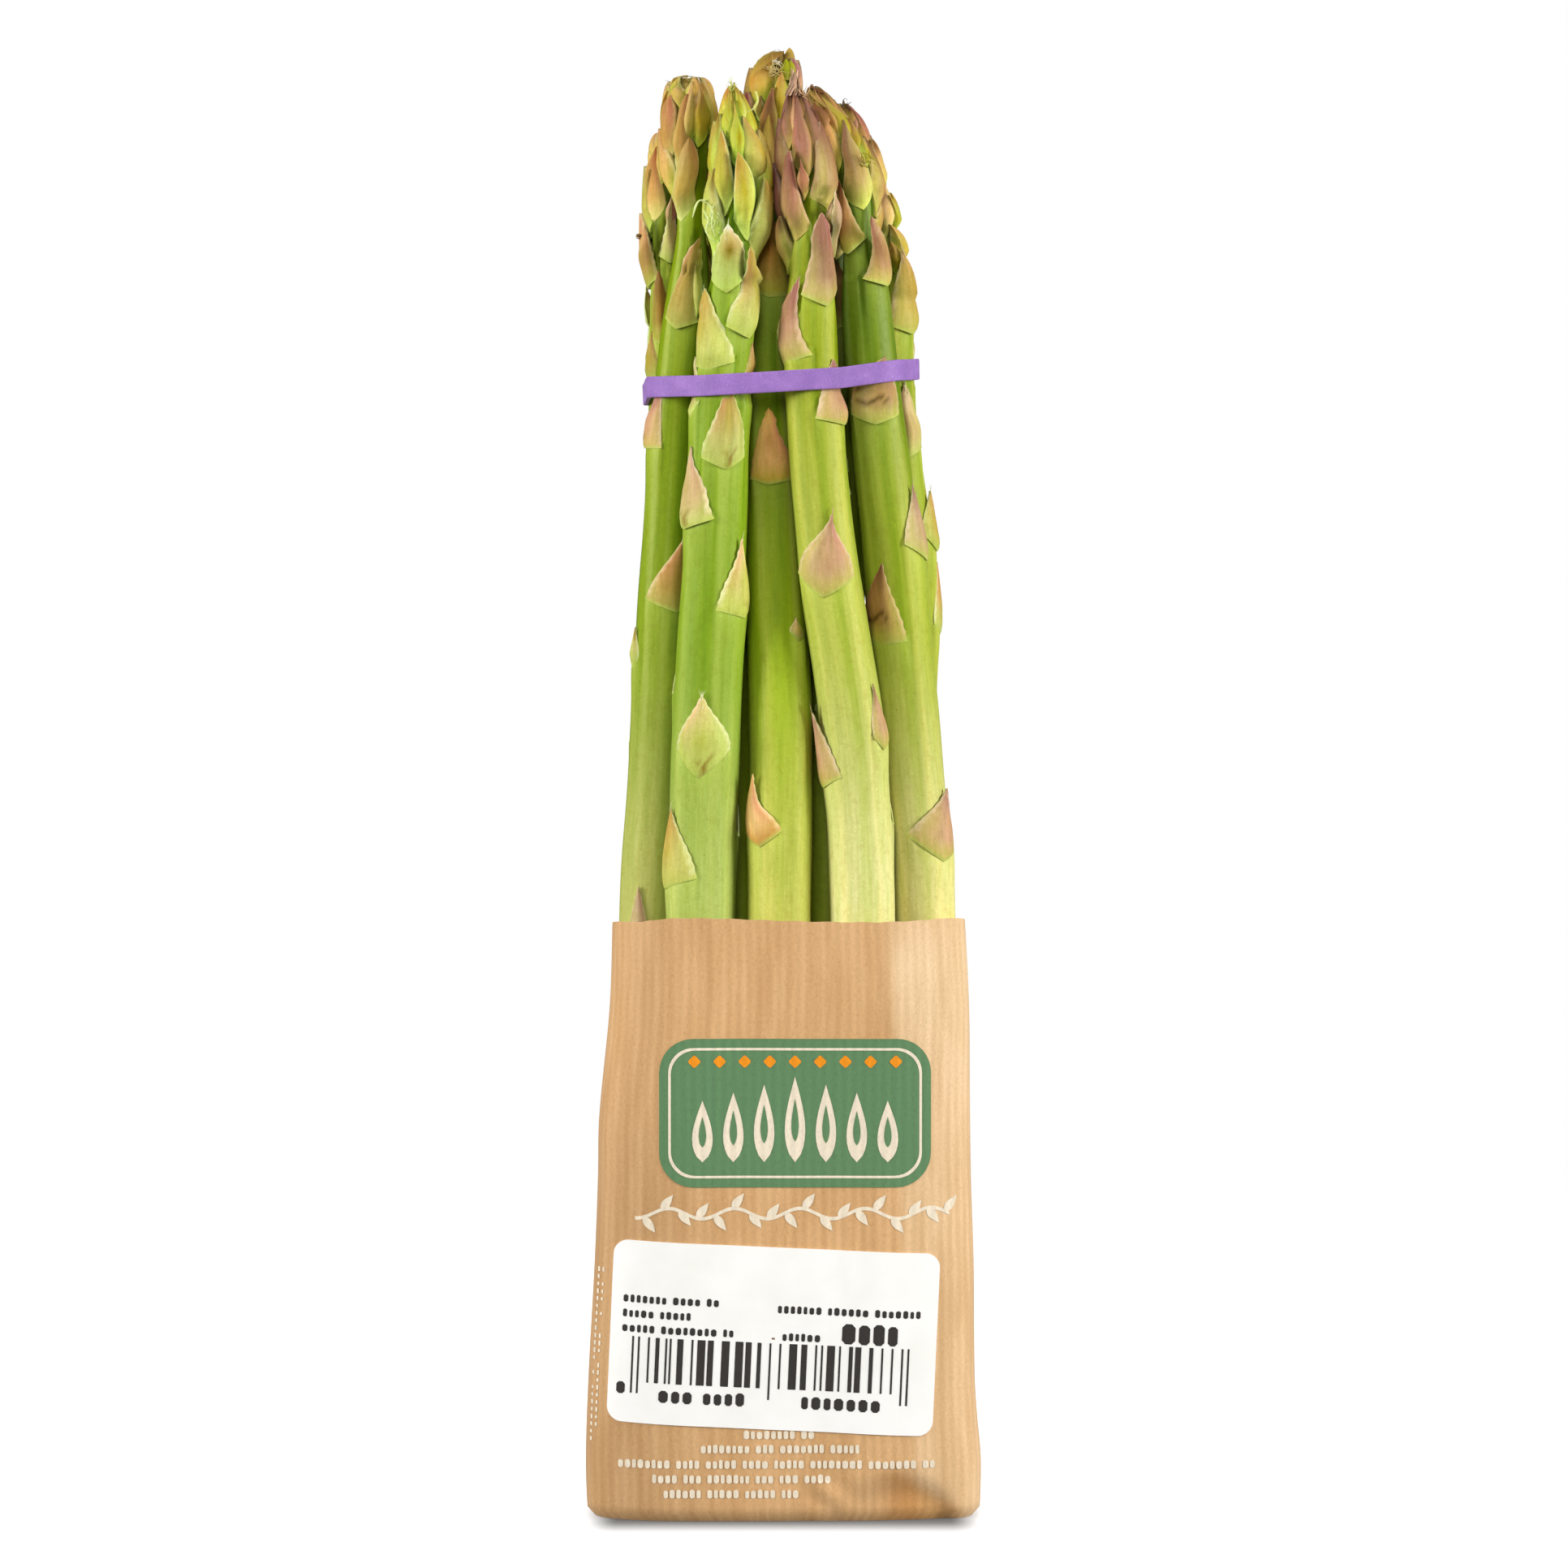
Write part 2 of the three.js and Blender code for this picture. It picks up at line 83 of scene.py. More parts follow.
BAND = dict(z=199.7, slope=0.104, height=3.7, thick=0.9, pressed=0.3)
PURPLE = (0.27, 0.135, 0.44)
LABEL_WHITE = (0.95, 0.935, 0.895)
SHADE = 0.8  # how much painted shade darkens the skin where it meets a neighbour
CREVICE = dict(cell=0.6, shade=0.4, depths=(0.6, 2.3), heights=(200, 215))  # painted shade under blades
SCALE_CLEAR = 0.06  # least space between a scale and a neighbouring spear

# Linear colours of a scale: its heel, middle and tip, its thin edge, and the patch on its middle.
TONE_PARTS = ("heel", "middle", "tip", "edge", "patch")
TONE_ROWS = {  # in hundredths
    "green": [(50, 58, 11), (53, 54, 13), (50, 35, 7), (80, 82, 40), (48, 42, 6)],
    "spot": [(54, 60, 12), (54, 54, 13), (74, 58, 22), (88, 86, 48), (48, 48, 7)],
    "pale": [(56, 60, 14), (60, 46, 17), (68, 52, 24), (88, 80, 48), (56, 42, 13)],
    "bud": [(38, 53, 7), (43, 46, 5), (50, 34, 6), (70, 74, 24), (36, 25, 0)],
    "gold": [(44, 52, 8), (48, 42, 8), (50, 34, 8), (74, 72, 30), (44, 32, 3)],
    "tan": [(44, 46, 7), (54, 38, 10), (56, 35, 12), (74, 64, 30), (48, 29, 5)],
    "umber": [(42, 42, 5), (42, 27, 5), (28, 14, 3), (56, 44, 16), (42, 20, 3)],
    "olive": [(36, 44, 4), (38, 31, 3), (44, 25, 6), (56, 54, 14), (34, 24, 1)],
    "pink": [(56, 42, 12), (45, 23, 13), (37, 15, 10), (76, 54, 34), (44, 22, 12)],
    "rose": [(54, 46, 11), (54, 33, 17), (42, 22, 15), (80, 64, 40), (56, 34, 17)],
    "mauve": [(46, 36, 9), (34, 17, 8), (29, 11, 7), (62, 42, 24), (34, 16, 7)],
    "rosy": [(60, 46, 13), (66, 44, 22), (58, 36, 20), (92, 76, 50), (64, 42, 22)],
    "rust": [(56, 54, 16), (50, 32, 8), (48, 25, 7), (70, 56, 24), (46, 28, 5)],
    "lime": [(48, 60, 12), (44, 44, 6), (44, 29, 4), (82, 84, 40), (42, 35, 2)],
    "purple": [(36, 26, 6), (29, 13, 8), (25, 11, 8), (52, 33, 23), (27, 12, 7)],
    "brown": [(46, 44, 7), (40, 23, 7), (22, 10, 4), (62, 46, 20), (38, 20, 6)],
    "russet": [(54, 50, 10), (45, 28, 10), (46, 27, 13), (72, 58, 30), (42, 24, 8)],
    # sunk: brightened past its own colour, as painted light, for scales set deep between the other spears.
    "sunk": [(70, 52, 6), (100, 60, 20), (88, 56, 10), (56, 36, 14), (60, 30, 4)],
    "amber": [(48, 42, 9), (48, 33, 7), (46, 28, 7), (84, 70, 40), (48, 31, 6)],
    "dry": [(62, 34, 7), (78, 50, 18), (80, 50, 16), (90, 72, 36), (72, 44, 15)],
}
TONES = {name: dict(zip(TONE_PARTS, np.array(colours) / 100)) for name, colours in TONE_ROWS.items()}


# ---------------------------------------------------------------- the twelve spears
def leaf(tone, left, heel, right, tip, bow=(0.3, 0.3), lip=0.8, lift=0.3, frayed=0, mark="",
         waist=0.25, seen=True):
    """One scale. left, heel, right and tip are the corners of its outline: each is x and z as seen from
    the front, or, for a scale out of sight, azimuth and z. left and right may be lists that go on from
    the corner up that side; a side with its corner only bulges by bow and then curves in by waist.
    lip and lift: how far the heel and the point stand off. frayed: pairs of threads at its point.
    mark: a blemish."""
    if isinstance(left, list):
        bow, waist = (0.0, 0.0), 0.0
    left, right = (side if isinstance(side, list) else [side] for side in (left, right))
    return dict(tone=tone, left=left, heel=heel, right=right, tip=tip, bow=bow, waist=waist, lip=lip,
                lift=lift, frayed=frayed, mark=mark, seen=seen)


def back_leaf(azimuth, heel, tone="green", length=13.0, half=44.0, lip=0.7):
    """A scale out of sight from the front, as wide as half degrees to either side of its azimuth."""
    corner = heel + 0.15 * length
    return leaf(tone, (azimuth - half, corner), (azimuth, heel), (azimuth + half, corner),
                (azimuth, heel + length), lip=lip, seen=False)


def bud_leaf(tone, heel_x, heel_z, tip_x, tip_z, width, belly=0.3):
    """A slender scale of the bud, widest at belly of its length from the heel."""
    run_x, run_z = tip_x - heel_x, tip_z - heel_z
    length = math.hypot(run_x, run_z)
    side_x, side_z = run_z / length * width / 2, -run_x / length * width / 2
    x, z = heel_x + belly * run_x, heel_z + belly * run_z
    return leaf(tone, (x - side_x, z - side_z), (heel_x, heel_z), (x + side_x, z + side_z), (tip_x, tip_z),
                bow=(0.12 * width, 0.12 * width), waist=0.1 * width)


# Each spear's scales down its stem, from the top, and the scales of its bud.
SCALES_01 = [
    leaf("green", [(-15.7, 212.4), (-16.3, 215.5), (-16.3, 217.8), (-15.7, 220.7)], (-15.4, 210.6),
         [(-14.6, 212.4), (-14.1, 215.5), (-14.3, 218.1), (-14.1, 220.9)], (-14.1, 223.5), lip=0.9),
    leaf("amber", [(-20.8, 211.0), (-20.2, 213.2), (-19.0, 216.5), (-18.0, 219.9), (-16.5, 223.0)],
         (-18.9, 208.9), [(-15.0, 210.1), (-15.4, 214.0), (-15.5, 217.8), (-14.8, 221.7)], (-14.1, 225.2),
         lip=1.3, lift=0.5),
    leaf("rose", [(-25.5, 188.6), (-24.9, 190.6), (-23.9, 194.1), (-22.8, 196.6)], (-24.6, 188.0),
         [(-21.5, 188.0), (-21.5, 191.2), (-21.5, 194.6)], (-21.3, 199.2), mark="heel"),
    leaf("amber", (-24.4, 161.6), (-18.8, 159.2), (-16.2, 161.0), (-17.2, 172.6), (0.4, 0.6), frayed=1),
    leaf("green", (-27.0, 150.2), (-26.6, 148.6), (-25.8, 150.2), (-26.2, 156.6), lip=0.2),
    leaf("rosy", [(-27.6, 99.0), (-27.2, 104.0), (-26.4, 108.0)], (-26.0, 97.0), [(-23.4, 99.0),
         (-24.0, 104.0), (-24.8, 108.0)], (-25.6, 111.0), lip=0.5),
    back_leaf(115, 172), back_leaf(165, 196), back_leaf(-150, 134), back_leaf(120, 121),
]
BUD_01 = [
    leaf("rust", [(-18.8, 228.9), (-19.2, 231.8), (-19.1, 235.8), (-18.3, 239.3), (-17.4, 241.2)],
         (-18.1, 227.9), [(-15.3, 231.0), (-15.6, 233.3), (-14.9, 236.8), (-14.9, 239.0), (-15.5, 241.0)],
         (-16.6, 242.5), lip=1.3),
    leaf("olive", (-16.4, 247.4), (-15.2, 240.8), (-13.0, 245.6), (-14.5, 251.9), (0.2, 0.2), waist=0.4),
    leaf("rust", [(-19.2, 239.0), (-19.1, 242.2), (-18.7, 245.3), (-18.3, 247.8)], (-18.3, 235.8),
         [(-15.0, 240.3), (-16.0, 243.1), (-16.5, 245.6), (-16.5, 248.1)], (-17.1, 250.2)),
    leaf("tan", (-18.3, 243.5), (-17.2, 240.0), (-15.6, 243.5), (-16.0, 252.4), (0.7, 0.4)),
    leaf("rust", [(-21.5, 239.3), (-22.0, 242.8), (-21.7, 245.9), (-21.2, 248.1)], (-20.1, 236.9),
         [(-19.3, 240.3), (-19.0, 244.7), (-19.0, 247.5)], (-19.9, 250.0)),
    leaf("bud", (-22.0, 242.8), (-21.5, 240.2), (-20.4, 242.8), (-20.4, 250.8), (0.6, 0.3)),
    leaf("bud", (-20.2, 250.2), (-19.3, 247.4), (-18.2, 250.0), (-18.4, 253.2), (0.4, 0.3)),
    leaf("tan", (-14.5, 246.6), (-12.3, 242.6), (-10.8, 246.8), (-14.4, 252.4), (0.3, 0.8)),
    leaf("olive", [(-16.0, 242.5), (-16.5, 245.0), (-16.1, 247.5), (-15.2, 249.7)], (-15.0, 240.8),
         [(-13.1, 245.3), (-13.2, 247.2), (-13.8, 249.1)], (-14.5, 251.8)),
    leaf("tan", (-18.8, 249.4), (-17.6, 246.6), (-16.4, 249.4), (-17.2, 253.7), (0.4, 0.3)),
    leaf("tan", (-16.2, 249.6), (-15.4, 246.8), (-14.3, 249.6), (-15.2, 253.2), (0.3, 0.3)),
]
SCALES_02 = [
    leaf("spot", [(-12.6, 217.3), (-12.6, 219.4), (-12.3, 221.4), (-11.3, 223.8), (-10.7, 225.3)],
         (-10.0, 215.0), [(-7.2, 217.2), (-6.8, 219.4), (-6.8, 222.0), (-7.3, 224.0), (-8.7, 225.6)],
         (-9.7, 227.1), lip=1.1, frayed=3, mark="spot"),
    leaf("green", [(-10.1, 209.2), (-9.2, 212.7), (-7.7, 215.1), (-6.7, 218.1), (-6.3, 220.9)],
         (-6.0, 207.1), [(-4.6, 209.8), (-4.3, 212.9), (-4.3, 216.5), (-4.5, 219.4), (-5.1, 222.0)],
         (-5.8, 223.1), lip=1.2),
    leaf("green", [(-15.2, 202.2), (-15.1, 205.5), (-15.1, 208.8), (-15.0, 212.4), (-14.6, 214.5)],
         (-13.5, 201.5), [(-8.5, 203.0), (-9.0, 206.2), (-10.3, 208.8), (-11.6, 211.1), (-12.8, 214.0)],
         (-13.8, 215.9), lip=1.2, frayed=2),
    leaf("tan", (-7.2, 196.8), (-4.7, 195.5), (-3.8, 197.2), (-5.4, 206.4), (0.6, 0.5), 0.6),
    leaf("pale", (-17.2, 195.0), (-16.3, 193.1), (-14.9, 195.6), (-15.6, 204.0), lip=0.6),
    leaf("green", [(-14.4, 186.3), (-14.2, 188.3), (-13.3, 190.5), (-12.2, 193.0), (-11.0, 195.8)],
         (-10.0, 184.2), [(-6.8, 186.5), (-6.9, 190.3), (-7.2, 192.9), (-8.0, 195.2)], (-9.4, 199.5),
         lip=0.8, mark="heel"),
    leaf("pale", [(-18.1, 174.6), (-17.9, 177.7), (-17.5, 180.9), (-16.8, 183.5), (-16.5, 185.5)],
         (-17.5, 173.8), [(-12.1, 175.6), (-13.0, 178.0), (-13.5, 180.6), (-14.6, 183.2), (-15.7, 185.2)],
         (-16.3, 188.3), lip=1.1, frayed=1, mark="heel"),
    leaf("spot", (-11.8, 159.6), (-6.7, 158.2), (-5.6, 160.6), (-7.2, 172.2), (-0.1, 0.3), 0.8, 0.5, 1,
         "heel", 0.3),
    leaf("spot", (-18.7, 134.6), (-14.9, 130.2), (-9.2, 134.6), (-14.3, 145.0), (0.9, 0.8), 0.5, 0.3, 4,
         "heel", 0.5),
    leaf("green", (-22.0, 113.2), (-21.0, 110.7), (-15.2, 112.8), (-19.8, 124.9), (0.6, 0.3), 0.7, 0.4, 1),
    back_leaf(150, 196), back_leaf(170, 170), back_leaf(-140, 143), back_leaf(130, 118),
]
BUD_02 = [
    bud_leaf("green", -3.9, 218.8, -3.2, 235.0, 4.6), bud_leaf("green", -12.9, 220.7, -12.2, 236.7, 4.0),
    leaf("lime", [(-11.9, 232.7), (-12.0, 236.2), (-11.7, 239.3)], (-10.2, 228.4), [(-8.5, 232.4),
         (-9.0, 236.2), (-9.8, 240.3)], (-10.9, 243.4), mark="eye"),
    leaf("lime", [(-8.8, 228.0), (-8.7, 231.1), (-8.6, 234.0), (-8.4, 237.1)], (-6.3, 224.1),
         [(-4.7, 230.2), (-4.9, 233.3), (-5.9, 236.8), (-7.0, 238.5)], (-8.0, 239.6), mark="eye"),
    bud_leaf("gold", -2.4, 229.0, -4.2, 243.6, 4.0), bud_leaf("gold", -4.2, 232.1, -7.0, 246.0, 4.1, 0.42),
    bud_leaf("bud", -12.4, 232.0, -11.4, 246.4, 3.6), bud_leaf("bud", -7.7, 236.0, -8.6, 248.8, 3.6),
    bud_leaf("bud", -9.6, 240.6, -9.2, 250.9, 3.3), bud_leaf("bud", -5.4, 240.5, -7.6, 250.4, 3.4),
    bud_leaf("green", -7.4, 243.5, -8.4, 252.0, 2.9),
]
SCALES_03 = [
    leaf("umber", (-6.0, 216.2), (-2.6, 214.5), (1.4, 215.0), (-2.0, 229.0), (0.5, 0.5), 0.7),
    leaf("brown", (-1.0, 207.0), (1.6, 205.0), (3.0, 207.0), (1.0, 219.0)),
    leaf("sunk", [(-5.9, 182.6), (-5.6, 185.5), (-5.0, 188.3), (-4.4, 190.9), (-3.6, 193.2)], (-2.6, 181.6),
         [(2.2, 182.9), (1.3, 186.3), (0.2, 188.9), (-1.1, 191.5), (-1.4, 193.5)], (-2.7, 195.2), lip=0.7),
    leaf("tan", (1.4, 155.4), (2.6, 153.9), (3.8, 154.8), (2.2, 158.4), lip=0.3),
    leaf("dry", [(-6.9, 120.8), (-6.8, 123.4), (-6.3, 126.2), (-5.9, 128.8)], (-4.2, 118.2), [(-0.2, 121.2),
         (-1.8, 123.4), (-4.2, 125.8), (-5.0, 128.4)], (-5.5, 131.0), lip=0.8, lift=1.2),
    back_leaf(175, 196), back_leaf(-160, 168), back_leaf(160, 140),
]
BUD_03 = [
    leaf("umber", [(-6.9, 250.3), (-6.7, 252.6), (-6.3, 254.4), (-5.5, 255.9), (-3.8, 257.3)],
         (-4.1, 248.2), [(-1.6, 250.9), (-1.5, 252.8), (-2.0, 254.8), (-1.2, 256.6)], (0.2, 258.0), lip=1.2,
         mark="crest"),
    leaf("rose", [(0.9, 251.6), (1.2, 253.6), (1.2, 255.4)], (2.4, 249.2), [(3.6, 252.2), (3.6, 254.2),
         (2.9, 255.6)], (1.7, 256.7), lip=1.1),
    leaf("pink", [(-7.6, 245.2), (-7.4, 247.6)], (-6.6, 243.0), [(-5.2, 246.4), (-5.5, 248.8)],
         (-6.6, 250.8)),
    leaf("brown", [(-4.9, 243.6), (-4.2, 246.6), (-3.0, 249.4)], (-3.0, 239.6), [(-0.4, 245.4),
         (-0.8, 248.2), (-1.4, 250.2)], (-1.95, 251.6)),
    leaf("sunk", [(-6.2, 233.6), (-5.2, 239.6)], (-3.4, 229.4), [(-0.4, 234.0), (-0.9, 240.0)],
         (-2.6, 246.8)),
    leaf("olive", [(-2.2, 247.6), (-1.9, 250.4)], (-0.6, 244.2), [(1.4, 247.6), (0.9, 250.6)],
         (-0.4, 254.4)),
    leaf("green", (-4.9, 247.4), (-4.3, 245.6), (-3.6, 247.4), (-4.2, 250.0)),
]
SCALES_04 = [
    leaf("pink", [(3.0, 214.7), (3.8, 217.9), (4.8, 221.8), (4.8, 224.6), (5.6, 227.2)], (7.6, 212.7),
         [(9.1, 215.3), (9.1, 217.6), (8.7, 221.2), (8.3, 224.3), (7.8, 227.2)], (6.7, 228.9), lip=1.1),
    leaf("pink", [(-1.3, 203.2), (-1.2, 206.5), (-0.5, 210.8), (1.2, 215.4)], (-0.2, 202.1), [(5.1, 204.2),
         (3.2, 207.4), (2.5, 210.8), (2.5, 214.5)], (2.8, 218.0), lip=1.2, lift=0.7, frayed=1),
    leaf("rose", [(5.5, 193.1), (5.9, 194.6), (6.3, 196.6), (7.0, 199.2)], (10.8, 192.0), [(11.1, 193.2),
         (11.0, 196.1), (10.8, 198.6), (10.0, 201.5)], (8.7, 203.5), lip=1.1, frayed=1),
    leaf("rose", (2.5, 166.2), (6.9, 161.8), (12.4, 165.4), (8.7, 177.5), (-0.1, -0.1), 0.7, waist=0.7),
    leaf("rose", (16.0, 137.2), (17.6, 135.2), (18.8, 137.4), (15.7, 146.8), (0.2, 0.3), 0.9),
    leaf("rose", (5.0, 131.2), (6.9, 128.5), (10.0, 130.4), (4.0, 143.6), (0.5, -0.6), 0.8, 2.3),
    leaf("rosy", [(8.8, 221.5), (8.8, 224.9), (8.4, 227.9), (8.8, 230.5)], (9.2, 221.3), [(10.0, 222.8),
         (10.4, 226.1), (10.3, 228.7), (9.6, 231.0)], (9.1, 232.9), lip=1.3),
    back_leaf(150, 178), back_leaf(-170, 150), back_leaf(140, 120),
]
BUD_04 = [
    leaf("mauve", [(0.3, 226.4), (-0.1, 229.7), (-0.2, 233.1), (-0.1, 236.2), (0.3, 238.8)], (2.2, 224.1),
         [(4.9, 226.8), (4.0, 228.7), (3.0, 231.3), (2.4, 233.9), (1.8, 236.7)], (1.0, 239.8), lip=1.2),
    leaf("mauve", [(4.5, 231.6), (4.9, 233.6), (5.5, 236.2), (5.6, 239.0), (5.5, 241.3)], (7.9, 229.4),
         [(8.5, 230.8), (8.9, 233.1), (8.9, 235.9), (8.2, 239.3), (7.3, 242.4)], (6.4, 245.0), lip=1.2),
    bud_leaf("brown", 0.0, 218.3, -0.8, 228.4, 3.6),
    leaf("mauve", (2.6, 233.2), (3.5, 231.0), (4.6, 233.4), (2.9, 238.2), (0.1, 0.1)),
    leaf("purple", (1.3, 238.4), (4.2, 234.9), (5.4, 239.4), (2.0, 250.4), (0.1, 0.6)),
    leaf("purple", (-1.1, 243.4), (0.9, 239.9), (2.3, 243.4), (0.9, 250.6), (0.5, 0.2)),
    leaf("purple", (4.3, 240.4), (6.0, 237.0), (7.4, 240.8), (2.9, 250.8), (0.1, 0.7)),
    leaf("purple", (-1.9, 236.2), (-0.7, 232.4), (0.8, 236.2), (0.2, 247.4), (0.4, 0.2)),
    leaf("purple", (6.8, 237.4), (8.0, 233.8), (9.0, 237.6), (5.0, 247.8), (0.1, 0.6)),
    leaf("pink", (1.0, 244.8), (1.9, 242.0), (3.0, 244.8), (1.9, 251.0), (0.1, 0.1)),
]
SCALES_05 = [
    leaf("brown", [(10.2, 222.8), (9.8, 226.1), (9.4, 229.7), (9.1, 233.1)], (11.2, 222.0), [(14.6, 225.0),
         (13.3, 226.7), (12.2, 228.7), (11.1, 231.3), (10.0, 234.0)], (9.0, 235.8), lip=1.3),
    leaf("russet", [(13.8, 217.6), (14.9, 219.7), (15.5, 222.3), (15.4, 224.9), (15.2, 227.2)],
         (18.3, 216.4), [(19.3, 219.2), (18.9, 221.5), (18.0, 224.1), (16.9, 226.4), (16.0, 227.9)],
         (15.3, 228.7), lip=1.4, frayed=1),
    leaf("russet", [(11.9, 193.9), (11.8, 196.1), (12.2, 198.3), (13.2, 200.9)], (16.1, 192.1),
         [(20.2, 193.9), (20.1, 196.6), (19.6, 199.2), (18.9, 201.5)], (17.9, 204.1), lip=0.9, mark="crack"),
    leaf("rose", (21.3, 171.1), (25.5, 168.3), (26.2, 170.2), (22.7, 181.6), (-0.1, 0.2), 0.9, 0.5, 1),
    leaf("brown", (13.3, 156.2), (17.4, 153.4), (21.7, 154.2), (17.2, 167.9), (0.4, 0.0), 0.6, mark="crack"),
    leaf("rose", (21.6, 120.1), (28.2, 115.4), (30.4, 117.4), (28.9, 128.2), (0.0, 0.3), 0.7, 0.5, 2),
    back_leaf(150, 205), back_leaf(-160, 176), back_leaf(165, 140),
]
BUD_05 = [
    leaf("russet", [(11.1, 231.4), (10.5, 233.4), (10.6, 235.7), (10.6, 238.0), (10.1, 240.6)],
         (14.0, 229.8), [(15.5, 233.1), (15.5, 234.6), (14.9, 236.7), (13.7, 239.8), (12.2, 242.1)],
         (10.6, 245.7), lip=1.2),
    leaf("brown", [(7.3, 237.1), (5.7, 242.2), (4.5, 246.9)], (9.5, 236.0), [(10.4, 239.0), (9.8, 242.2),
         (8.3, 245.3), (6.7, 248.5)], (3.2, 252.1), lip=1.1),
    leaf("olive", [(9.8, 240.9), (8.6, 244.0), (7.3, 247.2)], (10.6, 240.3), [(12.0, 242.8), (11.1, 245.3),
         (9.2, 247.8), (7.0, 249.7)], (4.3, 251.1)),
    leaf("brown", (7.2, 230.6), (8.6, 227.6), (10.2, 230.8), (8.2, 240.8), (0.2, 0.2)),
    leaf("olive", (11.4, 241.8), (12.9, 239.2), (14.0, 241.8), (11.4, 246.2)),
    leaf("bud", (13.2, 238.4), (14.2, 236.2), (15.2, 238.6), (13.2, 243.8)),
    leaf("brown", (4.6, 245.4), (5.8, 242.4), (7.2, 245.4), (4.8, 252.0)),
]
SCALES_06 = [
    leaf("amber", [(18.5, 209.7), (19.1, 213.9), (19.9, 218.2), (20.6, 220.6)], (22.9, 208.2),
         [(23.9, 210.2), (23.9, 214.5), (23.2, 218.2), (22.0, 221.2)], (21.0, 223.4), lip=1.2, lift=0.5,
         frayed=3),
    leaf("pale", [(21.7, 187.8), (21.3, 191.2), (20.7, 194.3), (20.6, 197.2)], (22.2, 186.6),
         [(24.5, 188.3), (24.2, 192.3), (23.1, 195.2), (22.7, 196.9), (21.9, 198.6)], (21.3, 199.6),
         lip=0.8, frayed=5),
    leaf("gold", (24.8, 172.8), (27.4, 169.9), (28.8, 172.2), (26.1, 180.6), (0.2, 0.9), 1.0, 0.8, 1),
    back_leaf(130, 200), back_leaf(170, 178), back_leaf(100, 155), back_leaf(150, 134),
]
BUD_06 = [
    leaf("pale", [(15.9, 228.2), (16.4, 230.8), (16.7, 233.4), (16.3, 235.7)], (18.0, 224.6),
         [(18.7, 226.7), (19.0, 229.2), (18.7, 231.8), (17.7, 234.9), (16.5, 237.0)], (15.8, 238.0),
         lip=1.2),
    leaf("bud", (18.5, 228.0), (19.3, 225.5), (20.4, 228.2), (18.6, 232.8), (0.1, 0.3)),
    leaf("lime", [(18.7, 228.0), (18.7, 230.8)], (19.6, 226.1), [(20.8, 228.3), (20.5, 230.8)],
         (19.1, 233.3), lip=1.1),
    leaf("gold", (18.9, 222.8), (20.9, 220.1), (21.6, 223.0), (18.8, 227.6), (0.0, 0.3), 1.2),
    leaf("olive", (18.3, 220.6), (20.0, 218.6), (21.2, 220.6), (18.8, 224.6), (0.0, 0.2)),
    leaf("tan", [(16.1, 237.4), (16.0, 240.6)], (17.7, 234.0), [(18.4, 236.5), (18.2, 239.0),
         (17.2, 241.2)], (15.9, 242.8), lip=1.1),
    leaf("mauve", [(12.7, 243.4), (12.0, 245.9)], (14.9, 240.9), [(15.9, 242.2), (15.2, 244.4),
         (13.6, 246.9)], (11.4, 248.6)),
    leaf("pink", (11.4, 245.4), (12.8, 242.6), (14.0, 245.2), (10.8, 249.6), (0.2, 0.3)),
]
SCALES_07 = [
    leaf("pale", [(-22.2, 222.2), (-21.6, 224.2), (-21.1, 226.2), (-20.6, 228.4), (-20.1, 230.4)],
         (-19.9, 220.8), [(-18.3, 222.8), (-18.7, 225.2), (-18.9, 227.2), (-19.1, 230.1)], (-19.5, 232.8),
         lip=1.2),
    leaf("tan", [(-25.4, 217.1), (-25.3, 220.4), (-25.3, 223.8), (-25.0, 225.8)], (-24.6, 216.3),
         [(-22.4, 218.1), (-22.6, 220.4), (-23.3, 223.0), (-23.9, 225.3)], (-24.6, 227.4), lip=1.1),
    leaf("umber", [(-23.6, 207.7), (-23.4, 210.9), (-23.2, 214.5), (-22.8, 217.3)], (-21.6, 206.4),
         [(-20.5, 210.1), (-20.4, 213.5), (-21.0, 216.5), (-21.6, 218.6)], (-22.2, 219.6), lip=0.8),
    leaf("gold", (-25.0, 201.6), (-23.6, 199.4), (-22.0, 201.0), (-23.4, 208.8), lip=0.7),
    back_leaf(-140, 204), back_leaf(175, 188), back_leaf(-165, 167), back_leaf(-160, 146),
]
BUD_07 = [
    leaf("rust", [(-23.6, 229.3), (-24.1, 232.4), (-24.1, 235.4), (-23.7, 238.2)], (-22.9, 228.2),
         [(-20.6, 230.7), (-21.2, 233.6), (-21.8, 236.4), (-22.2, 238.6)], (-22.6, 241.5), lip=1.2,
         mark="crack"),
    leaf("tan", (-24.0, 235.6), (-22.8, 231.8), (-21.2, 235.6), (-22.2, 244.3), (0.8, 0.4)),
    leaf("gold", (-24.8, 229.0), (-23.9, 226.2), (-22.8, 229.0), (-23.8, 237.4), (0.5, 0.3)),
    leaf("pink", (-20.9, 228.4), (-20.3, 225.6), (-19.0, 228.4), (-19.5, 233.2), (0.3, 0.3)),
    leaf("tan", (-22.4, 240.2), (-21.2, 236.8), (-19.6, 240.2), (-21.4, 245.0), (0.4, 0.4)),
]
SCALES_08 = [
    leaf("brown", (7.6, 210.6), (9.0, 208.9), (12.5, 211.2), (9.5, 221.4), (0.3, 0.0), 0.9),
    back_leaf(-30, 182), back_leaf(15, 140),
]
BUD_08 = [
    bud_leaf("rosy", 9.3, 221.3, 9.4, 233.4, 4.0),
]
SCALES_09 = [
    back_leaf(150, 192), back_leaf(20, 170), back_leaf(170, 136),
]

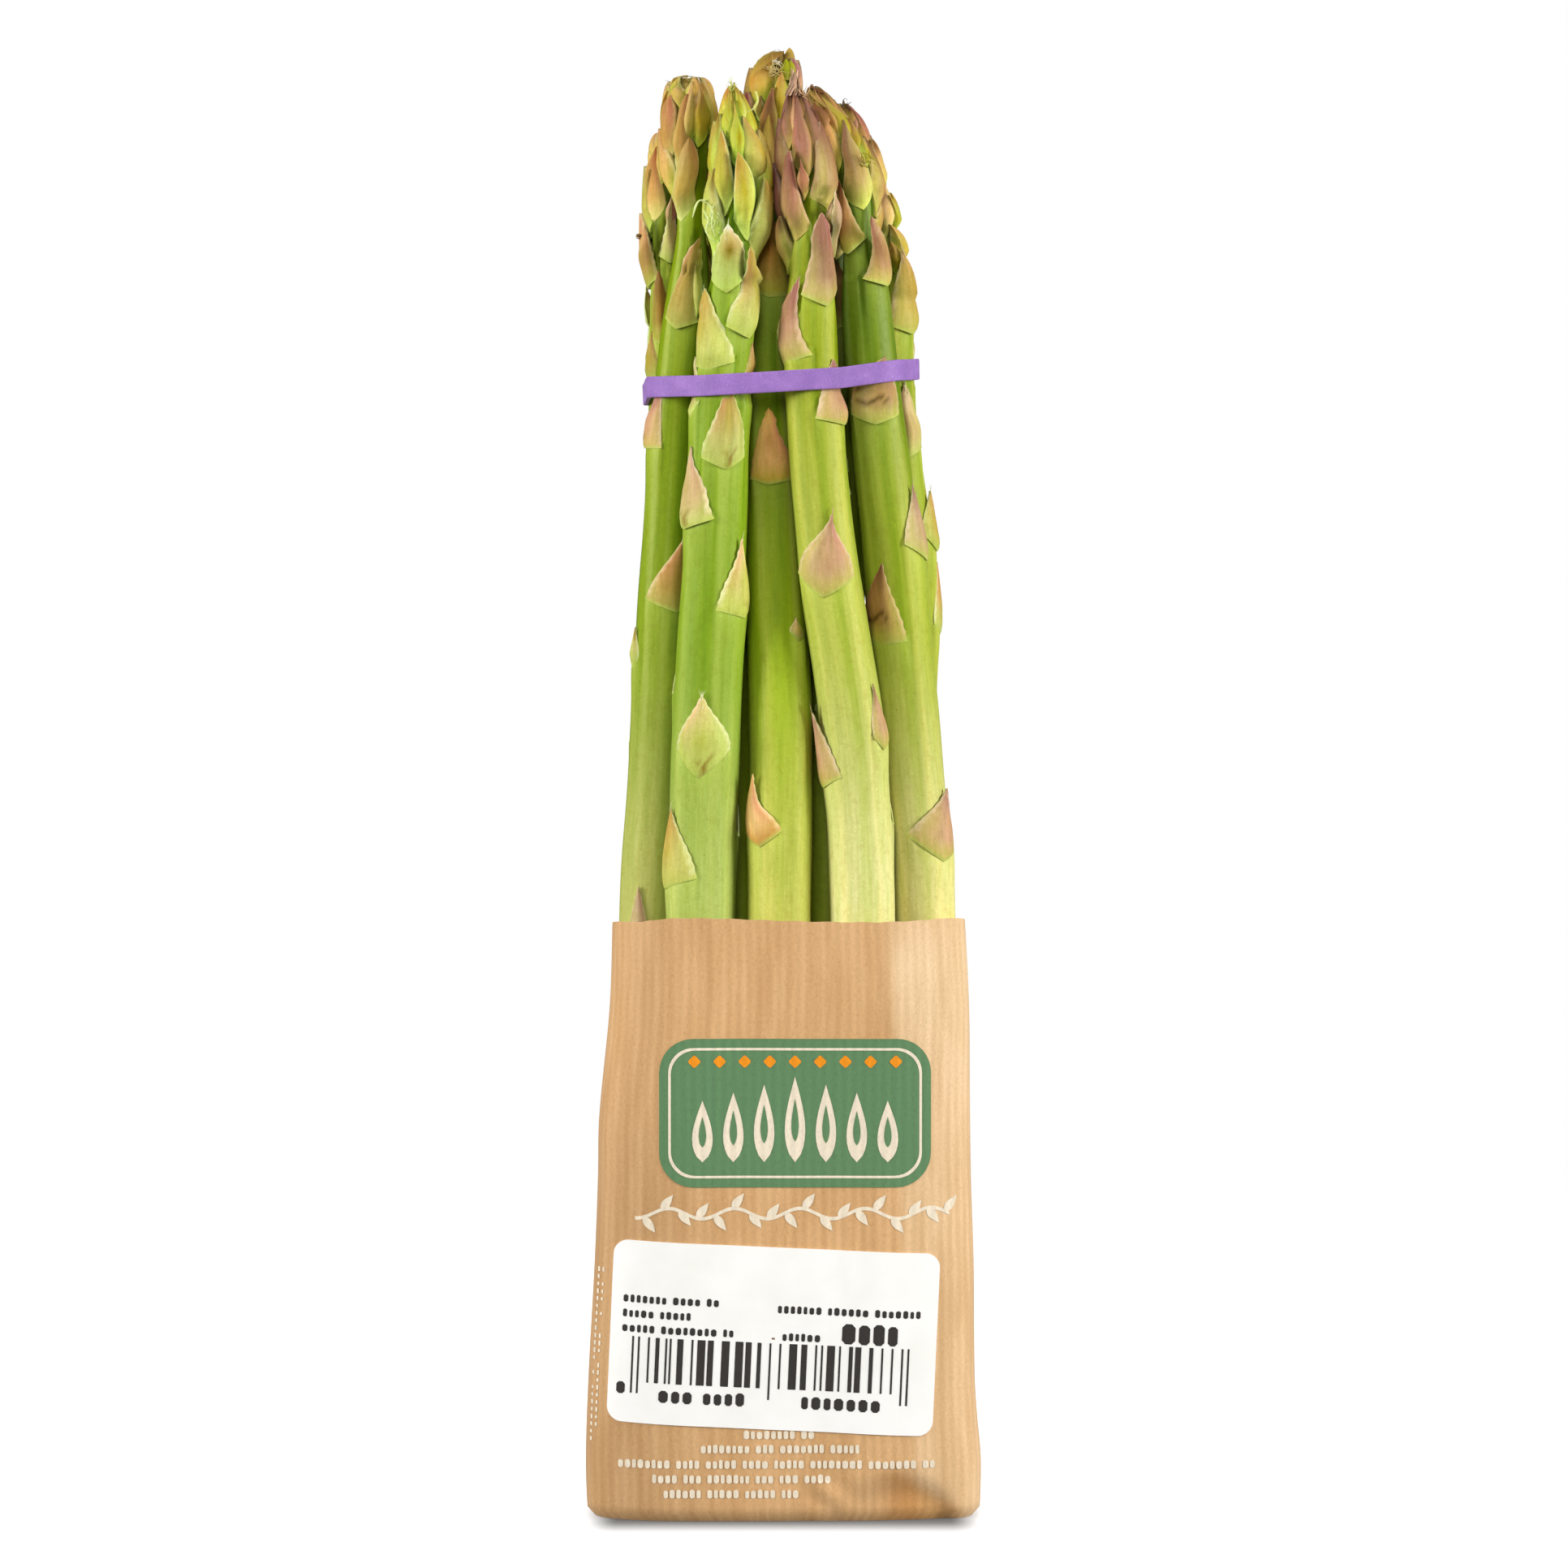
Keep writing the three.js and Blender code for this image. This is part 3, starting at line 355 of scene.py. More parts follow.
# The blunt buds at the top of the tallest spear: foot, top, width and colour.
PODS_03 = [
    ((0.9, -1.2, 254.8), (1.05, -1.0, 258.7), 2.3, (0.46, 0.30, 0.06)),
    ((0.2, -3.4, 252.8), (0.4, -2.8, 256.6), 2.0, (0.34, 0.36, 0.01)),
    ((1.4, -3.2, 252.8), (1.2, -2.4, 256.6), 1.9, (0.38, 0.38, 0.02)),
    ((-1.2, -3.6, 251.6), (-0.6, -3.2, 254.6), 1.8, (0.30, 0.26, 0.03)),
]
TWIST_04 = dict(foot=(1.7, -10.9, 249.6), top=(2.2, -10.4, 254.8), radius=1.15, count=24,
                colour=(0.74, 0.46, 0.30))

# x, y: places at HEIGHTS and at the tip. held: x stays as given. blunt: how soon the bud widens, less for
# blunter. turn: azimuth of its first filling scale. flesh: the skin's colour at the mouth, halfway and at
# the neck. seen_to and open_top: filling scales start beyond this azimuth, and this far below the tip.
SPEARS = [
    dict(
        name="spear_01", girth=5.4, tip=253.5, held=True, blunt=0.3, turn=20, tone="tan",
        x=[-23.7, -21.7, -20.3, -18.5, -16.6, -16.2, -16.7],
        y=[-3.0, -3.2, -3.5, -3.9, -4.2, -3.4, -3.0],
        flesh=[(0.48, 0.5, 0.13), (0.22, 0.32, 0.01), (0.21, 0.31, 0.0)],
        scales=SCALES_01, bracts=BUD_01,
    ),
    dict(
        name="spear_02", girth=6.0, tip=251.4, held=True, blunt=0.75, turn=-25, tone="bud",
        x=[-14.5, -13.6, -12.2, -10.9, -9.0, -7.8, -9.0],
        y=[-10.8, -10.9, -10.9, -10.9, -10.9, -11.2, -10.0],
        flesh=[(0.42, 0.52, 0.12), (0.21, 0.34, 0.01), (0.18, 0.31, 0.0)],
        scales=SCALES_02, bracts=BUD_02,
    ),
    dict(
        name="spear_03", girth=5.6, tip=258.4, held=True, blunt=0.35, turn=5, tone="brown",
        x=[-0.8, -0.5, -1.6, -2.8, -3.2, -2.6, -1.2],
        y=[-11.1, -9.9, -5.2, -4.3, -3.5, -1.2, -0.4],
        flesh=[(0.52, 0.54, 0.1), (0.32, 0.44, 0.01), (0.13, 0.22, 0.0)],
        scales=SCALES_03, bracts=BUD_03, pods=PODS_03, seen_to=80, open_top=0, crown=0,
    ),
    dict(
        name="spear_04", girth=5.7, tip=252, held=True, blunt=0.8, turn=-10, tone="purple",
        x=[13.9, 12.1, 7.9, 5.1, 4.6, 3.8, 1.9],
        y=[-11.2, -11.2, -11.1, -10.9, -10.9, -10.9, -9.4],
        flesh=[(0.72, 0.72, 0.28), (0.4, 0.46, 0.06), (0.26, 0.33, 0.0)],
        scales=SCALES_04, bracts=BUD_04, twist=TWIST_04,
    ),
    dict(
        name="spear_05", girth=5.75, tip=251.8, held=True, blunt=0.65, turn=-5, tone="brown",
        x=[24.6, 21.9, 19.3, 15.9, 13.9, 11.8, 5.3],
        y=[-5.3, -4.6, -6.4, -7.4, -6.6, -4.6, -2.9],
        flesh=[(0.74, 0.7, 0.26), (0.34, 0.42, 0.03), (0.1, 0.18, 0.0)],
        scales=SCALES_05, bracts=BUD_05,
    ),
    dict(
        name="spear_06", girth=4.7, tip=249.2, held=True, blunt=0.5, turn=40, tone="brown",
        x=[23.4, 22.6, 22.4, 19.3, 18.7, 14.2, 10.3],
        y=[5.8, 6.2, 4.4, 2.2, 2.2, 4.4, 4.6],
        flesh=[(0.46, 0.46, 0.06), (0.4, 0.46, 0.04), (0.3, 0.38, 0.02)],
        scales=SCALES_06, bracts=BUD_06, seen_to=105,
    ),
    dict(
        name="spear_07", girth=4.7, tip=244.2, held=True, blunt=0.45, turn=-30, tone="tan",
        x=[-21.5, -21.3, -21.0, -20.1, -20.9, -20.6, -21.2],
        y=[7.6, 6.9, 6.2, 5.0, 4.2, 4.6, 4.6],
        flesh=[(0.34, 0.42, 0.03), (0.32, 0.42, 0.02), (0.32, 0.42, 0.02)],
        scales=SCALES_07, bracts=BUD_07,
    ),
    dict(
        name="spear_08", girth=5.2, tip=240, held=False, blunt=0.7, turn=10, tone="brown",
        x=[7.5, 8.0, 9.8, 10.4, 10.6, 10.2, 9.5],
        y=[-0.6, -0.2, 0.2, 0.2, 1.0, 2.4, 2.4],
        flesh=[(0.26, 0.34, 0.02), (0.2, 0.28, 0.01), (0.12, 0.18, 0.0)],
        scales=SCALES_08, bracts=BUD_08,
    ),
    dict(
        name="spear_09", girth=5.3, tip=234, held=False, blunt=0.7, turn=60, tone="olive",
        x=[-9.0, -9.4, -9.9, -10.6, -11.0, -11.2, -11.0],
        y=[0.2, 0.4, 0.7, 0.9, 1.0, 1.2, 1.4],
        flesh=[(0.28, 0.38, 0.02), (0.26, 0.36, 0.01), (0.26, 0.36, 0.01)],
        scales=SCALES_09,
    ),
    dict(
        name="spear_10", girth=5.4, tip=245, held=False, blunt=0.7, turn=170, tone="tan", spiral=172,
        x=[-10.5, -11.4, -12.5, -13.8, -13.6, -13.0, -12.2],
        y=[11.4, 10.9, 10.2, 9.4, 8.8, 8.4, 7.6],
        flesh=[(0.42, 0.5, 0.05), (0.34, 0.44, 0.02), (0.3, 0.4, 0.02)],
    ),
    dict(
        name="spear_11", girth=5.3, tip=248, held=False, blunt=0.7, turn=200, tone="purple", spiral=155,
        x=[1.0, -0.2, -1.4, -2.6, -3.0, -2.8, -2.2],
        y=[10.2, 9.0, 7.5, 5.8, 5.4, 7.4, 7.6],
        flesh=[(0.5, 0.54, 0.08), (0.38, 0.46, 0.04), (0.3, 0.4, 0.02)],
    ),
    dict(
        name="spear_12", girth=5.2, tip=242.5, held=False, blunt=0.7, turn=150, tone="olive", spiral=198,
        x=[12.8, 10.8, 8.8, 6.8, 6.4, 6.2, 5.6],
        y=[9.8, 9.4, 9.2, 8.4, 8.4, 9.4, 9.0],
        flesh=[(0.44, 0.52, 0.05), (0.36, 0.46, 0.03), (0.32, 0.42, 0.02)],
    ),
]

# Threads and curls at the tips, by spear: x and z, depth in front of its line, heading, length, how many,
# how far they are strewn, colour, thickness and bend.
CURLS = {
    "spear_01": [
        (-19.4, 251.8, 1.2, (-0.5, -0.3, 0.8), 2.0, 10, 0.5, (0.12, 0.08, 0.01), 0.12, 2.6),
        (-17.8, 252.6, 1.2, (0.6, -0.2, 0.6), 1.8, 8, 0.5, (0.42, 0.30, 0.05), 0.14, 2.0),
        (-15.0, 252.0, 1.2, (0.2, -0.3, 0.9), 1.5, 4, 0.3, (0.20, 0.14, 0.03), 0.11, 2.6),
    ],
    "spear_02": [
        (-9.3, 250.4, 0.8, (-0.2, -0.1, 1.0), 2.0, 10, 0.4, (0.55, 0.58, 0.12), 0.14, 0.7),
        (-12.6, 227.4, 3.6, (0.1, -0.5, 0.6), 2.2, 16, 0.8, (0.64, 0.76, 0.30), 0.12, 2.0),
    ],
    "spear_03": [
        (-2.0, 254.6, 4.4, (0.8, -0.3, 0.2), 2.4, 22, 0.5, (0.66, 0.52, 0.20), 0.13, 2.8),
        (-1.6, 256.0, 3.4, (0.9, -0.3, 0.1), 1.8, 7, 0.25, (0.92, 0.86, 0.66), 0.15, 1.2),
        (-0.6, 253.4, 4.6, (0.6, -0.2, 0.2), 1.2, 14, 0.6, (0.42, 0.30, 0.06), 0.12, 1.5),
    ],
    "spear_04": [(3.2, 249.6, 2.0, (0.8, -0.2, 0.3), 2.6, 4, 0.2, (0.55, 0.34, 0.16), 0.12, 2.2)],
    "spear_05": [(15.0, 238.2, 5.5, (-0.4, -0.3, 0.8), 2.4, 14, 0.7, (0.40, 0.34, 0.03), 0.15, 1.0)],
    "spear_06": [
        (9.0, 248.8, 1.5, (-0.4, -0.3, 0.9), 1.5, 9, 0.4, (0.07, 0.05, 0.03), 0.12, 2.8),
        (10.6, 248.8, 1.5, (0.3, -0.3, 0.9), 1.5, 8, 0.4, (0.10, 0.07, 0.04), 0.12, 2.8),
    ],
    "spear_07": [(-25.2, 225.6, 1.0, (-1.0, -0.1, 0.1), 1.0, 7, 0.3, (0.20, 0.10, 0.03), 0.30, 0.5)],
}

# Single bent threads, by spear: depth in front of its line, thickness, colour and the places they pass.
HOOKS = {
    "spear_02": [
        (3.7, 0.24, (0.72, 0.80, 0.34),
         [(-13.6, 231.2), (-14.7, 231.1), (-15.3, 230.3), (-15.6, 229.3), (-15.9, 228.2)]),
        (3.9, 0.17, (0.74, 0.84, 0.36),
         [(-14.2, 231.0), (-13.0, 230.4), (-12.4, 229.0), (-12.6, 227.0), (-12.0, 225.0)]),
        (3.9, 0.15, (0.70, 0.82, 0.34),
         [(-14.0, 229.4), (-13.2, 227.6), (-13.6, 225.8), (-12.6, 224.4), (-11.6, 223.8)]),
        (3.9, 0.13, (0.66, 0.76, 0.30),
         [(-12.0, 230.6), (-12.8, 228.6), (-12.0, 227.2), (-13.0, 226.0), (-13.6, 226.8)]),
        (3.6, 0.22, (0.62, 0.64, 0.20),
         [(-4.9, 250.2), (-4.5, 248.8), (-4.8, 247.7), (-5.5, 247.0), (-6.4, 246.6)]),
    ],
    "spear_04": [
        (2.4, 0.11, (0.62, 0.38, 0.20),
         [(2.6, 250.6), (3.4, 249.7), (4.1, 249.9), (4.5, 250.5), (4.6, 251.4)]),
        (2.4, 0.10, (0.50, 0.30, 0.16), [(3.0, 251.2), (3.5, 250.0), (3.9, 249.6), (4.6, 249.9)]),
    ],
}


# ---------------------------------------------------------------- small tools
def smooth(low, high, value):
    """0 below low, 1 above high, and an even rise between them."""
    t = np.clip((np.asarray(value, float) - low) / (high - low), 0, 1)
    return t * t * (3 - 2 * t)


def hump(value, middle, width, other=0.0, other_middle=0.0, other_width=1.0):
    """1 at the middle, falling off over about width to either side, in one direction or in two."""
    return np.exp(-((value - middle) / width) ** 2 - ((other - other_middle) / other_width) ** 2)


def unit(vector):
    return vector / max(np.linalg.norm(vector), 1e-6)


def mix(a, b, share):
    """a where share is 0 and b where it is 1, for colours."""
    share = np.asarray(share)[..., None]
    return np.asarray(a) * (1 - share) + np.asarray(b) * share


def follow(knots, z):
    """Smooth curve through the knots [[z, value], ...], by cubic pieces whose slopes join."""
    places, values = np.array(knots, float).T
    last = len(places) - 1
    k = np.arange(last + 1)
    before, after = np.maximum(k - 1, 0), np.minimum(k + 1, last)
    slopes = (values[after] - values[before]) / (places[after] - places[before])
    at = np.clip(z, places[0], places[-1])
    k = np.clip(np.searchsorted(places, at, side="left") - 1, 0, last - 1)
    run = places[k + 1] - places[k]
    t = (at - places[k]) / run
    return (values[k] * (1 + 2 * t) * (1 - t) ** 2 + values[k + 1] * t * t * (3 - 2 * t)
            + slopes[k] * run * t * (1 - t) ** 2 + slopes[k + 1] * run * t * t * (t - 1))


class Shell:
    """Grids of points gathered into one mesh, each point with a base colour and a place in the grain."""

    def __init__(self):
        self.points = []
        self.colours = []
        self.grains = []
        self.faces = []
        self.count = 0

    def add_grid(self, points, colours, grains, closed=False, flipped=False):
        """Rows of points joined by quads. closed: each row is a ring. flipped: the quads are turned over."""
        rows, columns = points.shape[:2]
        index = self.count + np.arange(rows * columns).reshape(rows, columns)
        if closed:
            index = np.concatenate([index, index[:, :1]], axis=1)
        corners = [index[:-1, :-1], index[:-1, 1:], index[1:, 1:], index[1:, :-1]]
        quads = np.stack(corners, axis=-1).reshape(-1, 4)
        self.faces.append(quads[:, ::-1] if flipped else quads)
        self.points.append(points.reshape(-1, 3))
        self.colours.append(np.broadcast_to(colours, points.shape).reshape(-1, 3))
        self.grains.append(np.broadcast_to(grains, points.shape).reshape(-1, 3))
        self.count += rows * columns

    def shade_crevices(self, spear):
        """Darkens points that lie well below a blade beside them."""
        points = np.concatenate(self.points)
        ax, ay = axis_at(spear, points[:, 2])
        dx, dy = points[:, 0] - ax, points[:, 1] - ay
        radius = np.hypot(dx, dy)
        row = (points[:, 2] / CREVICE["cell"]).astype(int)
        turns = int(2 * np.pi * spear["girth"] / CREVICE["cell"])
        column = ((np.arctan2(dx, -dy) / (2 * np.pi) + 0.5) * turns).astype(int) % turns
        highest = np.zeros((row.max() + 3, turns))
        np.maximum.at(highest, (row + 1, column), radius)
        shifts = [(i, j) for i in (-1, 0, 1) for j in (-1, 0, 1)]
        around = np.max([np.roll(highest, shift, axis=(0, 1)) for shift in shifts], axis=0)
        depth = around[row + 1, column] - radius
        deep = smooth(*CREVICE["depths"], depth) * smooth(*CREVICE["heights"], points[:, 2])
        keep = 1 - CREVICE["shade"] * deep
        start = 0
        for k, colours in enumerate(self.colours):
            part = keep[start:start + len(colours), None]
            self.colours[k] = colours * part * (1 - (1 - part) * [0.2, 0.0, 0.6])
            start += len(colours)

    def build(self, name, material, replaces=()):
        """The piece made of the grids, which rides the root body and replaces the named CAD nodes."""
        points = np.concatenate(self.points) * MM
        mesh = bpy.data.meshes.new(name)
        mesh.from_pydata(points.tolist(), [], np.concatenate(self.faces).tolist())
        mesh.shade_smooth()
        colours = np.concatenate(self.colours)
        rgba = np.concatenate([colours, np.ones((len(colours), 1))], axis=1)
        base = mesh.color_attributes.new("base", "FLOAT_COLOR", "POINT")
        base.data.foreach_set("color", np.clip(rgba, 0, 1).ravel())
        grain = mesh.attributes.new("grain", "FLOAT_VECTOR", "POINT")
        grain.data.foreach_set("vector", np.concatenate(self.grains).ravel())
        mesh.materials.append(material)
        piece = bpy.data.objects.new(name, mesh)
        bpy.context.scene.collection.objects.link(piece)
        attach(piece, "root")
        if replaces:
            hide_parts(*replaces)
        return piece


# ---------------------------------------------------------------- a spear's line and girth
def core_radius(spear, z):
    """Radius of the bare stem and of the bud's core, at a height."""
    down = spear["tip"] - np.asarray(z, float)
    t = np.clip((TAPER_FROM - down) / (TAPER_FROM - HEAD_LENGTH), 0, 1)
    stem = spear["girth"] * (1 - (1 - NECK_SHARE) * t ** 2.5)
    u = np.clip(down / HEAD_LENGTH, 0, 1)
    bud = spear["girth"] * NECK_SHARE * (1 - (1 - u) ** 2.2) ** spear["blunt"]
    dip = NECK_DIP * hump(down, 26, 8) * smooth(4, 14, down)
    return np.where(down >= HEAD_LENGTH, stem, bud) - dip


def cover_radius(spear, z):
    """Radius of the bud over its scales, or of the bare stem below it."""
    u = (spear["tip"] - np.asarray(z, float)) / HEAD_LENGTH
    full = spear["girth"] * HEAD_SHARE
    lower = full - spear["girth"] * 0.16 * ((u - 0.65) / 0.35) ** 2
    upper = full * np.sin(np.pi / 2 * (np.clip(u, 0, 0.65) / 0.65) ** spear["blunt"])
    return np.where(u >= 1, core_radius(spear, z), np.where(u >= 0.65, lower, upper))


def settle(spears):
    """Sets the spears beside each other as the CAD does, and gives each its line."""
    for k, z in enumerate(HEIGHTS):
        squeeze = BUD_SQUEEZE if z > BUDS_FROM else 1
        covers = [float(cover_radius(s, z)) for s in spears]
        pairs = [(i, j) for i in range(len(spears)) for j in range(i + 1, len(spears))]
        for i, j in pairs * SETTLE_ROUNDS:
            a, b = spears[i], spears[j]
            dx, dy = b["x"][k] - a["x"][k], b["y"][k] - a["y"][k]
            far = math.hypot(dx, dy)
            want = (covers[i] + covers[j]) * squeeze + STEM_GAP
            if far >= want:
                continue
            if a["held"] and b["held"]:
                push = (math.sqrt(want ** 2 - dx ** 2) - abs(dy)) * math.copysign(0.5, dy)
                a["y"][k] -= push
                b["y"][k] += push
                continue
            push = (want - far) / far
            share = 0 if a["held"] else 1 if b["held"] else 0.5
            a["x"][k] -= dx * push * share
            a["y"][k] -= dy * push * share
            b["x"][k] += dx * push * (1 - share)
            b["y"][k] += dy * push * (1 - share)
    for s in spears:
        levels = [*HEIGHTS, s["tip"]]
        s["line_x"] = [[FOOT_Z, s["x"][0] * FOOT_SPREAD], *zip(levels, s["x"])]
        s["line_y"] = [[FOOT_Z, s["y"][0]], *zip(levels, s["y"])]


def axis_at(spear, z):
    """x and y of a spear's line at heights z."""
    return follow(spear["line_x"], z), follow(spear["line_y"], z)


def keep_clear(spear, points):
    """Brings points towards their own spear's axis until they are nearer to it than to any other."""
    z = points[..., 2]
    ax, ay = axis_at(spear, z)
    dx, dy = points[..., 0] - ax, points[..., 1] - ay
    far = np.hypot(dx, dy)
    own = cover_radius(spear, z)
    share = np.ones_like(far)
    for other in SPEARS:
        if other is spear:
            continue
        ox, oy = axis_at(other, z)
        reach = np.where(z < other["tip"] + 3, cover_radius(other, z), -50.0)
        for _ in range(CLEAR_ROUNDS):
            away = np.hypot(ax + dx * share - ox, ay + dy * share - oy) - reach
            excess = far * share - own + SCALE_CLEAR - away
            share = np.where(excess > 0, share - 0.55 * excess / np.maximum(far, 0.5), share)
    share = np.clip(share, 0.05, 1)
    return np.stack([ax + dx * share, ay + dy * share, z], axis=-1)


def nearness(spear, points):
    """1 where a point all but touches a neighbouring spear, falling to 0 a few millimetres away: the weight
    of the painted shade between spears.
    """
    z = points[..., 2]
    gap = np.full(z.shape, 99.0)
    for other in SPEARS:
        if other is not spear:
            ox, oy = axis_at(other, z)
            away = np.hypot(points[..., 0] - ox, points[..., 1] - oy) - cover_radius(other, z)
            gap = np.where(z < other["tip"], np.minimum(gap, away), gap)
    return 0.6 * np.exp(-np.clip(gap, 0, 99) / 0.5) + 0.4 * np.exp(-np.clip(gap, 0, 99) / 2.2)


def place(spear, azimuth, z, radius):
    """A point of a spear's surface, from its azimuth in radians, its height and its radius."""
    ax, ay = axis_at(spear, z)
    return np.stack([ax + radius * np.sin(azimuth), ay - radius * np.cos(azimuth), z], axis=-1)


def under_band(x, z):
    """How far a scale may stand off its stem near the rubber band."""
    off = np.abs(z - BAND["z"] - BAND["slope"] * x)
    return BAND["pressed"] - 0.04 + 0.35 * np.maximum(off - BAND["height"] / 2 - 0.3, 0)


# ---------------------------------------------------------------- scales and bracts
# The grid of a scale: shares of its half width, and of its length from heel to point.
HALF_ACROSS = [0.14, 0.3, 0.48, 0.65, 0.8, 0.91, 0.97, 1]
ACROSS = np.array([-share for share in HALF_ACROSS[::-1]] + [0] + HALF_ACROSS)
ALONG = np.array([0, 0.012, 0.035, 0.07, 0.12, 0.18, 0.25, 0.32, 0.39, 0.46, 0.53, 0.6, 0.67, 0.74, 0.81,
                  0.87, 0.92, 0.96, 1])
CUSHION = 0.4  # how far the stem swells under a heel
RIDGE = 0.14  # how far the strip of stem below a heel stands out, far below it
HEEL_LINE = (0.56, 0.66, 0.13)
BLEMISH = (0.24, 0.11, 0.005)
CRACK = (0.07, 0.035, 0.0)
CUT_FLESH = (0.72, 0.72, 0.42)


def scale_radius(spear, blade, side, t, z):
    """Radius of a stem's scale: side is 0 on its middle and 1 on its edges, t goes from heel to point."""
    lip, core = blade["lip"], core_radius(spear, z)
    cover = np.maximum(cover_radius(spear, z), core)
    over = (cover - core + 0.3) * smooth(0, 0.8, t) * (z > spear["tip"] - 40)
    crown = np.interp(t, [0, 0.04, 0.15, 0.4, 0.8, 1], [lip, lip + 0.25, lip + 0.45, 1.15, 0.7, 0.45])
    edge = np.interp(t, [0, 0.12, 0.5, 1], [0.7 * lip, 0.45 * lip, 0.1, 0.3])
    stand = crown + (edge - crown) * side ** 2.2 + blade["lift"] * t ** 2
    ax, _ = axis_at(spear, z)
    return core + over + np.minimum(stand, under_band(ax, z))


def bract_radius(spear, blade, side, t, z):
    """Radius of a bud's scale: its heel sits deep or shows bare, its sides tuck in, its point lies on top."""
    bare = blade["lip"] > 1
    core, cover = core_radius(spear, z), cover_radius(spear, z)
    rise = np.interp(t, [0, 0.3, 0.5, 0.75, 1], [-0.2, 0.05, 0.2, 0.4, 0.55])
    top = np.maximum(cover + rise, core + 0.5)
    skin = core + 0.5 + (top - core - 0.5) * smooth(0, 0.36 if bare else 0.45, t)
    swell = 0.35 * bare * hump(t, 0.12, 0.12)
    tuck = np.interp(t, [0, 0.15, 0.4, 0.8, 1], [0.4, 1.1, 1.5, 0.9, 0.15])
    return np.maximum(skin + swell - tuck * side ** 2.2, 0.25)


def azimuth_of(spear, blade, place, side, t, radius_at):
    """Azimuth in radians of a place on a scale. One beyond the spear's outline lies round behind."""
    across, z = place
    if not blade["seen"]:
        return math.radians(across)
    ax, _ = axis_at(spear, z)
    share = abs(across - ax) / float(radius_at(spear, blade, side, t, z))
    turn = math.asin(min(share, 0.9)) + max(share - 0.9, 0) * 2.3
    return math.copysign(turn, across - ax)


def side_line(spear, blade, key, t, radius_at):
    """Azimuths and heights along one side of a scale, from its corner to its point."""
    places = [*blade[key], blade["tip"]]
    steps = [math.dist(a, b) for a, b in zip(places, places[1:])]
    run = np.cumsum([0, *steps]) / sum(steps)
    turns = [azimuth_of(spear, blade, p, p is not places[-1], u, radius_at) for p, u in zip(places, run)]
    heights = [p[1] for p in places]
    return follow(list(zip(run, turns)), t), follow(list(zip(run, heights)), t)


def blade_places(spear, blade, radius_at):
    """Azimuths and heights of a scale's grid: rows from heel to point, columns from left to right."""
    t, s = np.meshgrid(ALONG, ACROSS, indexing="ij")
    left_turn, left_z = side_line(spear, blade, "left", t, radius_at)
    right_turn, right_z = side_line(spear, blade, "right", t, radius_at)
    girth = float(cover_radius(spear, blade["heel"][1]))
    waist = blade["waist"] * np.sin(2 * np.pi * t)
    left_turn = left_turn - (blade["bow"][0] * 4 * t * (1 - t) + waist) / girth
    right_turn = right_turn + (blade["bow"][1] * 4 * t * (1 - t) + waist) / girth
    heel = azimuth_of(spear, blade, blade["heel"], 0, 0, radius_at)
    middle = (left_turn + right_turn) / 2
    middle = middle + (heel - middle[:1, :1]) * (1 - t)
    middle_z = blade["heel"][1] + (blade["tip"][1] - blade["heel"][1]) * t
    side = np.abs(s)
    angle = middle + (np.where(s < 0, left_turn, right_turn) - middle) * side
    return t, s, angle, middle_z + (np.where(s < 0, left_z, right_z) - middle_z) * side ** 1.1


def scale_colour(tone, s, t, rng):
    """Heel to tip, with a patch on the middle, fresher sides, thin pale edges and faint veins."""
    colours = TONES[tone]
    tint = 1 + rng.normal(0, 0.05, 3) * [1, 1, 0.6]
    side = np.abs(s)
    shade = mix(colours["heel"], colours["middle"], smooth(0.03, 0.34, t + 0.06 * side))
    shade = mix(shade, colours["tip"], smooth(0.4, 0.9, t + 0.1 * rng.normal()))
    shade = mix(shade, colours["heel"], 0.5 * smooth(0.4, 0.9, side) * smooth(0.9, 0.2, t))
    fresh_side = s * rng.choice([-1, 1])
    fresh = smooth(-0.1, 1.0, fresh_side) * smooth(1.0, 0.35, t)
    shade = mix(shade, colours["heel"] * np.array([1.12, 1.12, 1.5]), 0.5 * fresh)
    blush = smooth(0.1, 0.9, -fresh_side) * smooth(0.15, 0.5, t)
    shade = mix(shade, shade * [1.1, 0.84, 1.15], blush)
    middle = rng.uniform(0.42, 0.58)
    spot = hump(t, middle, 0.16, s, rng.uniform(-0.15, 0.15), 0.34)
    shade = mix(shade, colours["patch"], spot * rng.uniform(0.5, 1))
    veins = 1 + 0.05 * np.sin(s * 13 + rng.uniform(0, 6)) * smooth(0, 0.3, t) + 0.03 * np.sin(s * 29)
    shade = shade * veins[..., None] * tint
    ragged = 0.03 * np.sin(t * 37 + rng.uniform(0, 6))
    return mix(shade, colours["edge"], 0.6 * smooth(0.84, 0.95, side + ragged) * smooth(0.02, 0.12, t))


def rim(grid):
    """The points round a blade's grid, from its left corner over its point and back along its heel."""
    return np.concatenate([grid[:, 0], grid[-1, 1:], grid[-2::-1, -1], grid[0, -2::-1]])


def add_blade(shell, outer, inner, colours, grains, edge):
    """The outer face of a blade and its thin side, darkened by painted shade as it goes in."""
    shell.add_grid(outer, colours, grains)
    # Painted shade: the side's inner rim is made dark, to read as a deep crevice.
    sides = np.broadcast_to(edge, (2, len(rim(outer)), 3)) * np.array([0.22, 1.0])[:, None, None]
    shell.add_grid(np.stack([rim(inner), rim(outer)]), sides, np.stack([rim(grains)] * 2))


def blade_grains(angle, radius, z, rng):
    """A scale's places in the skin's grain, which runs along it and starts anywhere."""
    return np.stack([angle * radius + rng.uniform(0, 90), z * 0 + rng.uniform(0, 90), z * 0.12], axis=-1)


